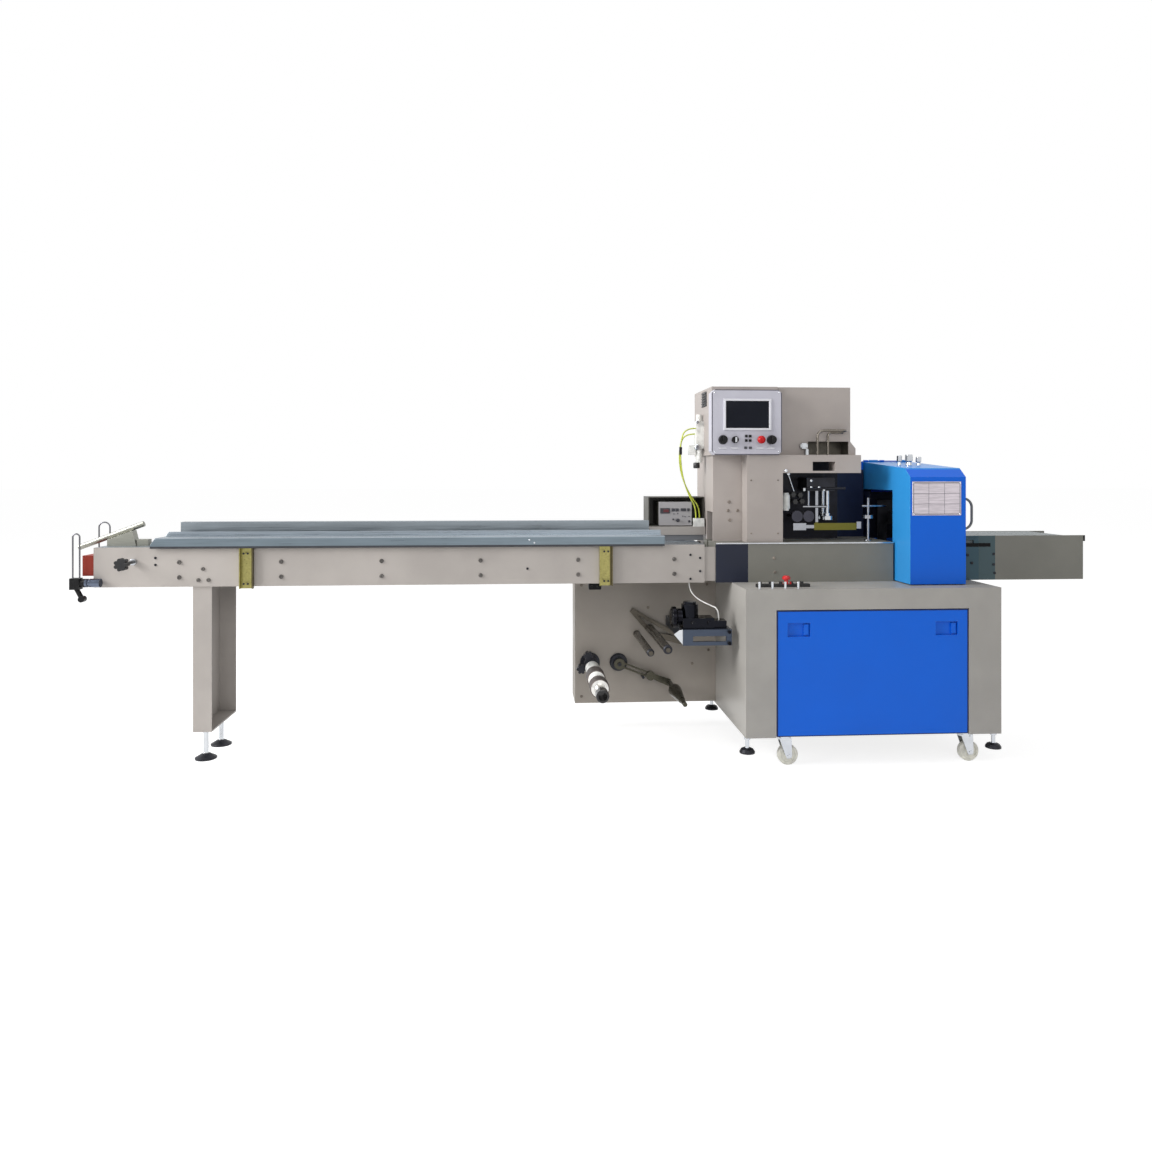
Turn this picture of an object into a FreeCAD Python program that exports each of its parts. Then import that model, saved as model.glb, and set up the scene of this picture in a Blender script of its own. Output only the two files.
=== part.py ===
"""Horizontal flow wrapper with its infeed conveyor, film frame, tower, fin seal, guard and outfeed.

X is the way the product travels, Y runs from the operator's side to the back and Z is up from the floor.
"""

import FreeCAD
import Part
import math
import operator
import os
import Sketcher

SIZES = {
    # levels above the floor, and rises above the cabinet's deck
    "floor_clearance": 125,
    "deck_height": 700,
    "bed_rise": 156,
    "table_rise": 163,
    "arm_rise": 525,
    "tower_rise": 812,
    # cabinet and door
    "cabinet_left": 570,
    "cabinet_length": 1020,
    "cabinet_front": -310,
    "cabinet_depth": 700,
    "door_from_left": 123,
    "door_length": 763,
    "door_height": 488,
    "door_gap": 3,
    "door_recess": 20,
    "door_thick": 18,
    "door_inset": 2,
    "cup_from_end": 42,
    "cup_length": 89,
    "cup_height": 53,
    "cup_depth": 12,
    "cup_below_top": 48,
    "paddle_length": 18,
    "paddle_thick": 8,
    # castors and levelling feet
    "castor_from_left": 170,
    "castor_from_right": 114,
    "castor_from_front": 70,
    "castor_from_back": 70,
    "castor_trail": 14,
    "castor_plate_length": 100,
    "castor_plate_width": 84,
    "castor_plate_thick": 5,
    "bearing_radius": 28,
    "bearing_height": 10,
    "wheel_radius": 40,
    "wheel_width": 28,
    "wheel_side_gap": 5,
    "fork_plate": 3.5,
    "axle_radius": 5,
    "turning_gap": 0.3,
    "crown_thick": 9,
    "foot_inset": 14,
    "foot_from_front": 35,
    "foot_from_back": 35,
    "foot_hang": 65,
    "foot_pad_radius": 30,
    "foot_stem_radius": 8,
    # drive motor under the cabinet and buttons on the deck
    "motor_radius": 37.5,
    "motor_drop": 50,
    "motor_from_right": 55,
    "motor_from_front": 190,
    "strip_from_left": 61,
    "strip_length": 212,
    "strip_width": 25,
    "strip_height": 12,
    "strip_from_front": 60,
    "stud_radius": 5,
    "stud_height": 28,
    "stud_pitch": 51,
    "stud_from_front": 14,
    "stop_button_radius": 16,
    "stop_button_from_left": 120,
    # film frame, reel shaft, rollers and dancer arm
    "film_length": 628,
    "film_front": 210,
    "film_depth": 180,
    "film_bottom": 135,
    "film_deck_gap": 10,
    "film_sheet": 4,
    "reel_from_left": 66,
    "reel_height": 316,
    "reel_shaft_radius": 15,
    "reel_reach": 600,
    "reel_bearing_radius": 30,
    "reel_tip_bore": 17,
    "reel_bearing_depth": 60,
    "core_cone_radius": 30,
    "core_flange_radius": 37,
    "roller_one_from_left": 274,
    "roller_one_height": 438,
    "roller_one_reach": 415,
    "roller_one_radius": 15,
    "roller_two_from_left": 330,
    "roller_two_height": 465,
    "roller_two_reach": 490,
    "roller_two_radius": 18,
    "roller_shaft_radius": 6,
    "roller_bore_gap": 0.6,
    "dancer_from_left": 192,
    "dancer_height": 315,
    "dancer_hub_radius": 39,
    "dancer_hub_depth": 24,
    "dancer_length": 238,
    "dancer_drop_angle": 21.4,
    "dancer_width": 24,
    "dancer_thick": 12,
    "dancer_reach": 390,
    # date coder and its hose
    "coder_from_cabinet": 265,
    "coder_height": 498,
    # infeed conveyor
    "infeed_left": -1972,
    "infeed_length": 2429,
    "product_line": 70,
    "belt_width": 310,
    "side_plate": 6,
    "bed_slot": 30,
    "bed_thick": 6,
    "tie_radius": 8,
    "tie_first": 328,
    "tie_pitch": 395,
    "tie_rise": 97,
    "tie_split": 60,
    "sprocket_radius": 44,
    "chain_roller": 5.1,
    "sprocket_from_left": 100,
    "sprocket_from_right": 60,
    "chain_thick": 10,
    "chain_width": 18,
    "lug_pitch": 305,
    "lug_height": 24,
    "lug_length": 10,
    "leg_from_left": 378,
    "leg_length": 73,
    "leg_sheet": 4,
    "leg_overlap": 100,
    "leg_foot_radius": 42,
    "rail_left": -1752,
    "rail_length": 2041,
    "rail_sheet": 3,
    "rail_slant": 34,
    "rail_half_gap": 65,
    "rail_skirt_out": 15,
    "rail_skirt": 42,
    "front_rail_rise": 56,
    "back_rail_rise": 88,
    "bracket_first": 591,
    "bracket_pitch": 1430,
    "bracket_width": 53,
    "bracket_out": 20,
    "bracket_sheet": 3,
    "knob_from_left": 154,
    "knob_rise": 100,
    "knob_radius": 25,
    "knob_reach": 120,
    "knob_thick": 30,
    "knob_shaft_radius": 6,
    "end_block_out": 45,
    # table, forming box, tower and control panel
    "tower_left": 512,
    "tower_length": 586,
    "tower_front": 140,
    "tower_depth": 190,
    "table_left": 503,
    "table_length": 747,
    "table_front": -90,
    "table_back_reach": 160,
    "table_lip": 3,
    "navy_length": 134,
    "navy_thick": 8,
    "forming_length": 125,
    "forming_front": 5,
    "tunnel_width": 110,
    "tunnel_height": 122,
    "post_length": 152,
    "post_front": -70,
    "arm_length": 484,
    "arm_drop": 75,
    "panel_left": 487,
    "panel_length": 293,
    "panel_front": -85,
    "panel_height": 269,
    "head_front_left": -25,
    "head_front_right": -10,
    "printer_length": 246,
    "printer_gap": 4,
    "handle_radius": 5,
    # fin seal
    "fin_x": 1017,
    "fin_wheel_radius": 26,
    "fin_wheel_gap": 5,
    "fin_wheel_thick": 16,
    "fin_wheel_rise": 250,
    "fin_shaft_radius": 8,
    "fin_block_rise": 374,
    # end seal, its guard and the outfeed
    "guard_gap": 8,
    "guard_swing_gap": 6,
    "guard_length": 230,
    "guard_front": -230,
    "guard_sheet": 4,
    "guard_hinge_y": 254,
    "guard_hinge_rise": 504,
    "grip_reach": 40,
    "grip_length": 124,
    "jaw_gap": 130,
    "outfeed_gap": 5,
    "outfeed_length": 593,
    "outfeed_rise": 186,
    "outfeed_plate": 6,
    "outfeed_width": 280,
    "belt_thick": 4,
    "belt_below_top": 1,
    "outfeed_mount_length": 134,
}

SPROCKET_TEETH = 18
CORD_SHARE = 0.45

doc = FreeCAD.newDocument("flow_wrapper")
nodes = []


class Size:
    """A number together with the expression that it comes from."""

    def __init__(self, value, text):
        self.value = value
        self.text = text

    def joined(self, other, work, sign, swap=False):
        pair = [self, size(other)]
        if swap:
            pair.reverse()
        text = f"({pair[0].text} {sign} {pair[1].text})"
        return Size(work(pair[0].value, pair[1].value), text)

    def __add__(self, other):
        return self.joined(other, operator.add, "+")

    def __sub__(self, other):
        return self.joined(other, operator.sub, "-")

    def __mul__(self, other):
        return self.joined(other, operator.mul, "*")

    def __truediv__(self, other):
        return self.joined(other, operator.truediv, "/")

    def __radd__(self, other):
        return self.joined(other, operator.add, "+", True)

    def __rsub__(self, other):
        return self.joined(other, operator.sub, "-", True)

    def __rmul__(self, other):
        return self.joined(other, operator.mul, "*", True)

    def __neg__(self):
        return self * -1


class Names:
    """Holds one Size for each alias of the sheet."""


def size(value):
    if isinstance(value, Size):
        return value
    return Size(float(value), f"({float(value)})")


def cosine(angle):
    return Size(math.cos(math.radians(angle.value)), f"cos({angle.text})")


def sine(angle):
    return Size(math.sin(math.radians(angle.value)), f"sin({angle.text})")


def make_sheet():
    sheet = doc.addObject("Spreadsheet::Sheet", "sizes")
    names = Names()
    for row, (alias, value) in enumerate(SIZES.items(), start=1):
        sheet.set(f"A{row}", alias)
        sheet.set(f"B{row}", str(value))
        sheet.setAlias(f"B{row}", alias)
        setattr(names, alias, Size(float(value), f"sizes.{alias}"))
    doc.recompute()
    return names


s = make_sheet()


def bind(item, name, value):
    value = size(value)
    setattr(item, name, value.value)
    if "sizes." in value.text:
        item.setExpression(name, value.text)


def put(item, x=0, y=0, z=0, turn=None):
    """Places an item at x, y, z after a turn, given as an axis and degrees."""
    place = [size(x), size(y), size(z)]
    spin = FreeCAD.Rotation()
    if turn:
        angle = size(turn[1])
        spin = FreeCAD.Rotation(FreeCAD.Vector(*turn[0]), angle.value)
    item.Placement = FreeCAD.Placement(FreeCAD.Vector(*[p.value for p in place]), spin)
    for letter, value in zip("xyz", place):
        if "sizes." in value.text:
            item.setExpression(f"Placement.Base.{letter}", value.text)
    if turn and "sizes." in angle.text:
        item.setExpression("Placement.Rotation.Angle", f"{angle.text} * 1 deg")
    return item


def node(item, label):
    item.Label = label
    nodes.append(item)
    return item


def box(name, x0, x1, y0, y1, z0, z1):
    item = doc.addObject("Part::Box", name)
    bind(item, "Length", size(x1) - x0)
    bind(item, "Width", size(y1) - y0)
    bind(item, "Height", size(z1) - z0)
    return put(item, x0, y0, z0)


LAID = {"x": ((0, 1, 0), 90), "y": ((1, 0, 0), -90), "z": None}


def cylinder(name, axis, x, y, z, radius, length):
    """A rod from x, y, z along the positive axis."""
    item = doc.addObject("Part::Cylinder", name)
    bind(item, "Radius", radius)
    bind(item, "Height", length)
    return put(item, x, y, z, LAID[axis])


def fused(name, items):
    item = doc.addObject("Part::MultiFuse", name)
    item.Shapes = items
    item.Refine = True
    return item


def cut(name, base, tools):
    item = doc.addObject("Part::Cut", name)
    item.Base = base
    item.Tool = tools[0] if len(tools) == 1 else fused(name + "_tools", tools)
    item.Refine = True
    return item


def compound(name, items):
    item = doc.addObject("Part::Compound", name)
    item.Links = items
    return item


def new_sketch(body, plane, start, end, name):
    """A sketch whose pad, of the length end - start, reaches from start to end."""
    sketch = body.newObject("Sketcher::SketchObject", name)
    feature = [f for f in body.Origin.OriginFeatures if f.Role == plane + "_Plane"][0]
    sketch.AttachmentSupport = [(feature, "")]
    sketch.MapMode = "FlatFace"
    level = -size(end) if plane == "XZ" else size(start)
    sketch.AttachmentOffset = FreeCAD.Placement(FreeCAD.Vector(0, 0, level.value), FreeCAD.Rotation())
    if "sizes." in level.text:
        sketch.setExpression("AttachmentOffset.Base.z", level.text)
    return sketch


def pin(sketch, shape, end, point):
    """Ties one point of a sketch's shape to the sketch's origin."""
    for kind, value in zip(("DistanceX", "DistanceY"), point):
        value = size(value)
        index = sketch.addConstraint(Sketcher.Constraint(kind, -1, 1, shape, end, value.value))
        if "sizes." in value.text:
            sketch.setExpression(f"Constraints[{index}]", value.text)


def draw_outline(sketch, points):
    places = [FreeCAD.Vector(size(a).value, size(b).value, 0) for a, b in points]
    for i, start in enumerate(places):
        sketch.addGeometry(Part.LineSegment(start, places[(i + 1) % len(places)]), False)
    for i in range(len(places)):
        following = (i + 1) % len(places)
        sketch.addConstraint(Sketcher.Constraint("Coincident", i, 2, following, 1))
    for i, point in enumerate(points):
        pin(sketch, i, 1, point)


def draw_circles(sketch, centres, radius):
    radius = size(radius)
    for a, b in centres:
        centre = FreeCAD.Vector(size(a).value, size(b).value, 0)
        shape = sketch.addGeometry(Part.Circle(centre, FreeCAD.Vector(0, 0, 1), radius.value), False)
        pin(sketch, shape, 3, (a, b))
        index = sketch.addConstraint(Sketcher.Constraint("Radius", shape, radius.value))
        if "sizes." in radius.text:
            sketch.setExpression(f"Constraints[{index}]", radius.text)


def new_body(name):
    return doc.addObject("PartDesign::Body", name)


def pad(body, plane, points, start, end):
    sketch = new_sketch(body, plane, start, end, body.Name + "_outline")
    draw_outline(sketch, points)
    feature = body.newObject("PartDesign::Pad", body.Name + "_pad")
    feature.Profile = sketch
    bind(feature, "Length", size(end) - start)
    return body


def pocket(body, plane, points, start, end):
    sketch = new_sketch(body, plane, start, end, body.Name + "_opening")
    draw_outline(sketch, points)
    return finish_pocket(body, sketch, size(end) - start)


def drill(body, plane, centres, radius, start, end):
    sketch = new_sketch(body, plane, start, end, body.Name + "_holes")
    draw_circles(sketch, centres, radius)
    return finish_pocket(body, sketch, size(end) - start)


def finish_pocket(body, sketch, depth):
    feature = body.newObject("PartDesign::Pocket", body.Name + "_pocket")
    feature.Profile = sketch
    feature.Reversed = True
    bind(feature, "Length", depth)
    return body


def rectangle(a0, a1, b0, b1):
    return [(a0, b0), (a1, b0), (a1, b1), (a0, b1)]


TURNING = {"x": ("XY", "H_Axis"), "y": ("YZ", "H_Axis"), "z": ("XZ", "V_Axis")}


def turned(name, axis, points, x=0, y=0, z=0):
    """A round piece: points give its distance along the axis and its radius there."""
    body = new_body(name)
    plane, line = TURNING[axis]
    sketch = new_sketch(body, plane, 0, 0, name + "_profile")
    draw_outline(sketch, [(r, a) if axis == "z" else (a, r) for a, r in points])
    feature = body.newObject("PartDesign::Revolution", name + "_turned")
    feature.Profile = sketch
    feature.ReferenceAxis = (sketch, [line])
    feature.Angle = 360
    return put(body, x, y, z)


def stepped(steps, bore=0):
    """The profile of a turned piece from (start, end, radius) steps that follow each other."""
    points = [(steps[0][0], bore)]
    for start, end, radius in steps:
        points += [(start, radius), (end, radius)]
    points.append((steps[-1][1], bore))
    return points


def bar(name, x, z, angle, length, width, y0, y1):
    """A flat bar with round ends in an XZ plane, from x, z at an angle below the X axis."""
    straight = doc.addObject("Part::Box", name + "_straight")
    bind(straight, "Length", length)
    bind(straight, "Width", size(y1) - y0)
    bind(straight, "Height", width)
    tilt = ((0, 1, 0), angle)
    half = size(width) / 2
    put(straight, size(x) - half * sine(size(angle)), y0, size(z) - half * cosine(size(angle)), tilt)
    near = cylinder(name + "_near_end", "y", x, y0, z, half, size(y1) - y0)
    far_x = size(x) + size(length) * cosine(size(angle))
    far_z = size(z) - size(length) * sine(size(angle))
    far = cylinder(name + "_far_end", "y", far_x, y0, far_z, half, size(y1) - y0)
    return [straight, near, far]


def wire(name, points, radius, bend=None):
    """A round wire through points: straight runs joined by tangent arcs.

    The arcs have one radius, or with no bend given each is as wide as its two runs allow.
    """
    places = [FreeCAD.Vector(*[size(c).value for c in p]) for p in points]
    edges = []
    bends = []
    start = places[0]
    for before, corner, after in zip(places, places[1:], places[2:]):
        shorter = min((corner - before).Length, (after - corner).Length)
        into = (corner - before).normalize()
        out = (after - corner).normalize()
        turn = into.getAngle(out)
        arc = bend or CORD_SHARE * shorter / math.tan(turn / 2)
        bends.append(arc)
        trim = arc * math.tan(turn / 2)
        first = corner - into * trim
        last = corner + out * trim
        middle = corner + (out - into).normalize() * (arc / math.cos(turn / 2) - arc)
        edges.append(Part.LineSegment(start, first).toShape())
        edges.append(Part.Arc(first, middle, last).toShape())
        start = last
    edges.append(Part.LineSegment(start, places[-1]).toShape())
    path = Part.Wire(edges)
    along = places[1] - places[0]
    section = Part.Wire([Part.Circle(places[0], along, radius).toShape()])
    solid = path.makePipeShell([section], True, True)
    expected = math.pi * radius**2 * path.Length
    if abs(solid.Volume / expected - 1) > 0.02:
        raise ValueError(f"{name}: the tube's volume is {solid.Volume:.0f}, not {expected:.0f}")
    if bend is None:
        print(f"{name}: {path.Length:.0f} long, radii", [round(b) for b in bends])
    item = doc.addObject("Part::Feature", name)
    item.Shape = solid
    return item


def repeat_round(body, count):
    """Repeats the last cut of a body round the normal of its sketch."""
    last = body.Group[-1]
    pattern = body.newObject("PartDesign::PolarPattern", body.Name + "_round")
    pattern.Originals = [last]
    pattern.Axis = (last.Profile[0], ["N_Axis"])
    pattern.Angle = 360
    pattern.Occurrences = count
    body.Tip = pattern
    return body


# places shared by several pieces
deck = s.deck_height
cabinet_right = s.cabinet_left + s.cabinet_length
cabinet_back = s.cabinet_front + s.cabinet_depth
film_left = s.cabinet_left - s.film_length
film_back = s.film_front + s.film_depth
bed = deck + s.bed_rise
infeed_right = s.infeed_left + s.infeed_length
plates_front = s.product_line - s.belt_width / 2
plates_back = s.product_line + s.belt_width / 2
inner_front = plates_front + s.side_plate
inner_back = plates_back - s.side_plate
table = deck + s.table_rise
arm_top = deck + s.arm_rise
tower_top = deck + s.tower_rise
tower_right = s.tower_left + s.tower_length
tower_back = s.tower_front + s.tower_depth
table_right = s.table_left + s.table_length
navy_right = s.table_left + s.navy_length
guard_left = table_right + s.guard_gap
guard_right = guard_left + s.guard_length
outfeed_left = guard_right + s.outfeed_gap
outfeed_right = outfeed_left + s.outfeed_length
castor_places = [
    (x, y)
    for y in (s.cabinet_front + s.castor_from_front, cabinet_back - s.castor_from_back)
    for x in (s.cabinet_left + s.castor_from_left, cabinet_right - s.castor_from_right)
]


def make_cabinet():
    body = new_body("base_cabinet")
    left = s.cabinet_left
    outline = rectangle(left, cabinet_right, s.cabinet_front, cabinet_back)
    pad(body, "XY", outline, s.floor_clearance, deck)
    door_left = left + s.door_from_left
    recess = rectangle(
        door_left - s.door_gap,
        door_left + s.door_length + s.door_gap,
        s.floor_clearance - 1,
        s.floor_clearance + s.door_gap + s.door_height + s.door_gap,
    )
    pocket(body, "XZ", recess, s.cabinet_front - 1, s.cabinet_front + s.door_recess)
    node(body, "base_cabinet")

    body = new_body("door_panel")
    door_right = door_left + s.door_length
    bottom = s.floor_clearance + s.door_gap
    top = bottom + s.door_height
    front = s.cabinet_front + s.door_inset
    pad(body, "XZ", rectangle(door_left, door_right, bottom, top), front, front + s.door_thick)
    cup_top = top - s.cup_below_top
    paddles = []
    for start in (door_left + s.cup_from_end, door_right - s.cup_from_end - s.cup_length):
        end = start + s.cup_length
        deep = front + s.cup_depth
        pocket(body, "XZ", rectangle(start, end, cup_top - s.cup_height, cup_top), front - 1, deep)
        paddle = box(
            "latch_paddle",
            end - s.paddle_length - 6,
            end - 6,
            deep - s.paddle_thick,
            deep,
            cup_top - s.cup_height + 6,
            cup_top - 6,
        )
        paddles.append(paddle)
    node(fused("front_door", [body] + paddles), "front_door")


def make_castors():
    plates = []
    fork_top = s.floor_clearance - s.castor_plate_thick - s.bearing_height - s.turning_gap
    inside = s.wheel_width / 2 + s.wheel_side_gap
    outside = inside + s.fork_plate
    for number, (x, y) in enumerate(castor_places, start=1):
        half_x = s.castor_plate_length / 2
        half_y = s.castor_plate_width / 2
        low = s.floor_clearance - s.castor_plate_thick
        plate = box("castor_plate", x - half_x, x + half_x, y - half_y, y + half_y, low, s.floor_clearance)
        race = cylinder("castor_race", "z", x, y, low - s.bearing_height, s.bearing_radius, s.bearing_height)
        plates.append(fused("castor_top", [plate, race]))

        crown = cylinder("fork_crown", "z", x, y, fork_top - s.crown_thick, 26, s.crown_thick)
        axle_x = x + s.castor_trail
        leg = [
            (x - 24, fork_top),
            (x + 24, fork_top),
            (axle_x + 13, s.wheel_radius - 2),
            (axle_x + 8, s.wheel_radius - 11),
            (axle_x - 8, s.wheel_radius - 11),
            (axle_x - 13, s.wheel_radius - 2),
        ]
        sides = []
        for start, end in ((y - outside, y - inside), (y + inside, y + outside)):
            sides.append(pad(new_body("fork_side"), "XZ", leg, start, end))
        low = fork_top - s.crown_thick
        bridge = box("fork_bridge", x - 20, x + 20, y - outside, y + outside, low, fork_top)
        nut = y - outside - 4
        axle = cylinder("fork_axle", "y", axle_x, nut, s.wheel_radius, s.axle_radius, outside * 2 + 8)
        node(fused(f"castor_fork_{number}", [crown, bridge, axle] + sides), f"castor_fork_{number}")

        half = s.wheel_width / 2
        rim = s.wheel_radius
        profile = [
            (-half, s.axle_radius + s.turning_gap),
            (-half, 12),
            (3 - half, 14),
            (3 - half, rim - 13),
            (-half, rim - 11),
            (-half, rim - 4),
            (5 - half, rim),
            (half - 5, rim),
            (half, rim - 4),
            (half, rim - 11),
            (half - 3, rim - 13),
            (half - 3, 14),
            (half, 12),
            (half, s.axle_radius + s.turning_gap),
        ]
        wheel = turned(f"castor_wheel_{number}", "y", profile, axle_x, y, rim)
        node(wheel, f"castor_wheel_{number}")
    node(compound("castor_plates", plates), "castor_plates")


def make_feet(leg_feet):
    top = s.floor_clearance
    low = top - s.foot_hang
    profile = [
        (low, 0),
        (low, s.foot_pad_radius),
        (low + 6, s.foot_pad_radius),
        (low + 15, s.foot_pad_radius * 0.8),
        (low + 21, s.foot_pad_radius * 0.4),
        (low + 21, s.foot_stem_radius),
        (top - 13, s.foot_stem_radius),
        (top - 13, s.foot_stem_radius + 5),
        (top, s.foot_stem_radius + 5),
        (top, 0),
    ]
    feet = []
    for y in (s.cabinet_front + s.foot_from_front, cabinet_back - s.foot_from_back):
        for x in (s.cabinet_left + s.foot_inset, cabinet_right - s.foot_inset):
            feet.append(turned("levelling_foot", "z", profile, x, y))
    node(compound("levelling_feet", feet + leg_feet), "levelling_feet")


def make_motor():
    x = cabinet_right - s.motor_from_right
    y = s.cabinet_front + s.motor_from_front
    low = s.floor_clearance - s.motor_drop
    profile = [
        (low, 0),
        (low, s.motor_radius - 5),
        (low + 5, s.motor_radius),
        (s.floor_clearance, s.motor_radius),
        (s.floor_clearance, 0),
    ]
    node(turned("drive_motor", "z", profile, x, y), "drive_motor")


def make_deck_controls():
    left = s.cabinet_left + s.strip_from_left
    front = s.cabinet_front + s.strip_from_front
    top = deck + s.strip_height
    strip = box("button_strip", left, left + s.strip_length, front, front + s.strip_width, deck, top)
    middle = front + s.strip_width / 2
    pieces = [strip]
    for place in range(5):
        pieces.append(cylinder("strip_knob", "z", left + 14 + 42 * place, middle, top, 7, 9))
    black = fused("button_base", pieces)
    studs = []
    for place in range(4):
        x = left - 4 + s.stud_pitch * place
        y = s.cabinet_front + s.stud_from_front
        studs.append(cylinder("stud", "z", x, y, deck, s.stud_radius, s.stud_height))
    profile = [
        (top, 0),
        (top, 8),
        (top + 16, 8),
        (top + 18, s.stop_button_radius),
        (top + 26, s.stop_button_radius),
        (top + 32, s.stop_button_radius * 0.6),
        (top + 32, 0),
    ]
    stop_x = left + s.stop_button_from_left
    stop = turned("deck_stop_button", "z", profile, stop_x, middle)
    node(compound("deck_controls", [black, stop] + studs), "deck_controls")


def make_film_frame():
    top = deck - s.film_deck_gap
    sheet = s.film_sheet
    body = new_body("film_pan")
    pad(body, "XZ", rectangle(film_left, s.cabinet_left, s.film_bottom, top), s.film_front, film_back)
    inside = rectangle(film_left + sheet, s.cabinet_left - sheet, s.film_bottom + sheet, top - sheet)
    pocket(body, "XZ", inside, s.film_front + sheet, film_back + 1)
    carriers = []
    for start in (film_left + 118, film_left + 448):
        carriers.append(box("carrier", start, start + 50, s.film_front + 3, plates_back, top, deck))
    node(fused("film_frame", [body] + carriers), "film_frame")


def star_knob(name, x, y, z, radius, thick, lobes):
    """A lobed hand knob whose axis lies along Y."""
    pieces = [cylinder(name + "_core", "y", x, y, z, size(radius) * 0.72, thick)]
    for place in range(lobes):
        angle = 2 * math.pi * place / lobes
        around = size(radius) * 0.7
        lobe_x = size(x) + around * math.cos(angle)
        lobe_z = size(z) + around * math.sin(angle)
        pieces.append(cylinder(name + "_lobe", "y", lobe_x, y, lobe_z, size(radius) * 0.3, thick))
    return pieces


def make_reel():
    x = film_left + s.reel_from_left
    z = s.reel_height
    face = s.film_front
    bore = s.reel_shaft_radius + s.turning_gap
    housing = s.reel_bearing_radius
    depth = s.reel_bearing_depth
    profile = stepped([(-depth, -10, housing), (-10, 0, housing + 13)], bore)
    bearing = turned("reel_housing", "y", profile, x, face, z)
    knobs = []
    for number, (dx, dz) in enumerate(((-12, 42), (-44, -13)), start=1):
        knob = star_knob(f"brake_knob_{number}", x + dx, face - depth - 26, z + dz, 21, 22, 6)
        post = cylinder(f"brake_post_{number}", "y", x + dx, face - depth - 4, z + dz, 7, depth + 4)
        knobs.append(fused(f"brake_{number}", knob + [post]))
    node(fused("reel_bearing", [bearing] + knobs), "reel_bearing")

    tip = -s.reel_reach
    shaft = [
        (tip + 44, 0),
        (tip + 44, s.reel_tip_bore),
        (tip, s.reel_tip_bore),
        (tip, 23),
        (tip + 3, 25),
        (tip + 48, 25),
        (tip + 48, 22),
        (tip + 112, 22),
        (tip + 112, s.reel_shaft_radius),
        (-2, s.reel_shaft_radius),
        (-2, 0),
    ]
    shaft_body = turned("reel_bar", "y", shaft, x, face, z)

    neck = s.reel_shaft_radius
    cone = [
        (tip + 112, neck),
        (tip + 112, 24),
        (tip + 120, s.core_flange_radius),
        (tip + 185, s.core_flange_radius),
        (tip + 192, 24),
        (tip + 262, 24),
        (tip + 270, s.core_flange_radius),
        (tip + 350, s.core_flange_radius),
        (tip + 356, s.core_cone_radius),
        (tip + 478, s.core_cone_radius),
        (tip + 490, neck + 6),
        (tip + 490, neck),
    ]
    holders = turned("core_holders", "y", cone, x, face, z)
    node(compound("reel_shaft", [shaft_body, holders]), "reel_shaft")


def make_rollers():
    face = s.film_front
    shafts = []
    rollers = [
        (1, s.roller_one_from_left, s.roller_one_height, s.roller_one_reach, s.roller_one_radius),
        (2, s.roller_two_from_left, s.roller_two_height, s.roller_two_reach, s.roller_two_radius),
    ]
    for number, from_left, z, reach, radius in rollers:
        x = film_left + from_left
        steps = stepped([(-reach - 8, -reach, 9), (-reach, -14, s.roller_shaft_radius), (-14, 0, 16)])
        shafts.append(turned(f"roller_shaft_{number}", "y", steps, x, face, z))
        bore = s.roller_shaft_radius + s.roller_bore_gap
        tube = [
            (1 - reach, bore),
            (1 - reach, radius - 4),
            (5 - reach, radius),
            (-24, radius),
            (-20, radius - 4),
            (-20, bore),
        ]
        node(turned(f"idler_roller_{number}", "y", tube, x, face, z), f"idler_roller_{number}")
    web = new_body("guide_web")
    outline = [(242, 538), (255, 552), (484, 424), (468, 392), (338, 428)]
    pad(web, "XZ", [(film_left + a, b) for a, b in outline], face - 14, face)
    opening = [(276, 524), (440, 428), (345, 450)]
    pocket(web, "XZ", [(film_left + a, b) for a, b in opening], face - 15, face + 1)
    tip = cylinder("guide_tip", "y", film_left + 472, face - 60, 408, 10, 60)
    return fused("roller_shafts", shafts + [web, tip])


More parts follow.
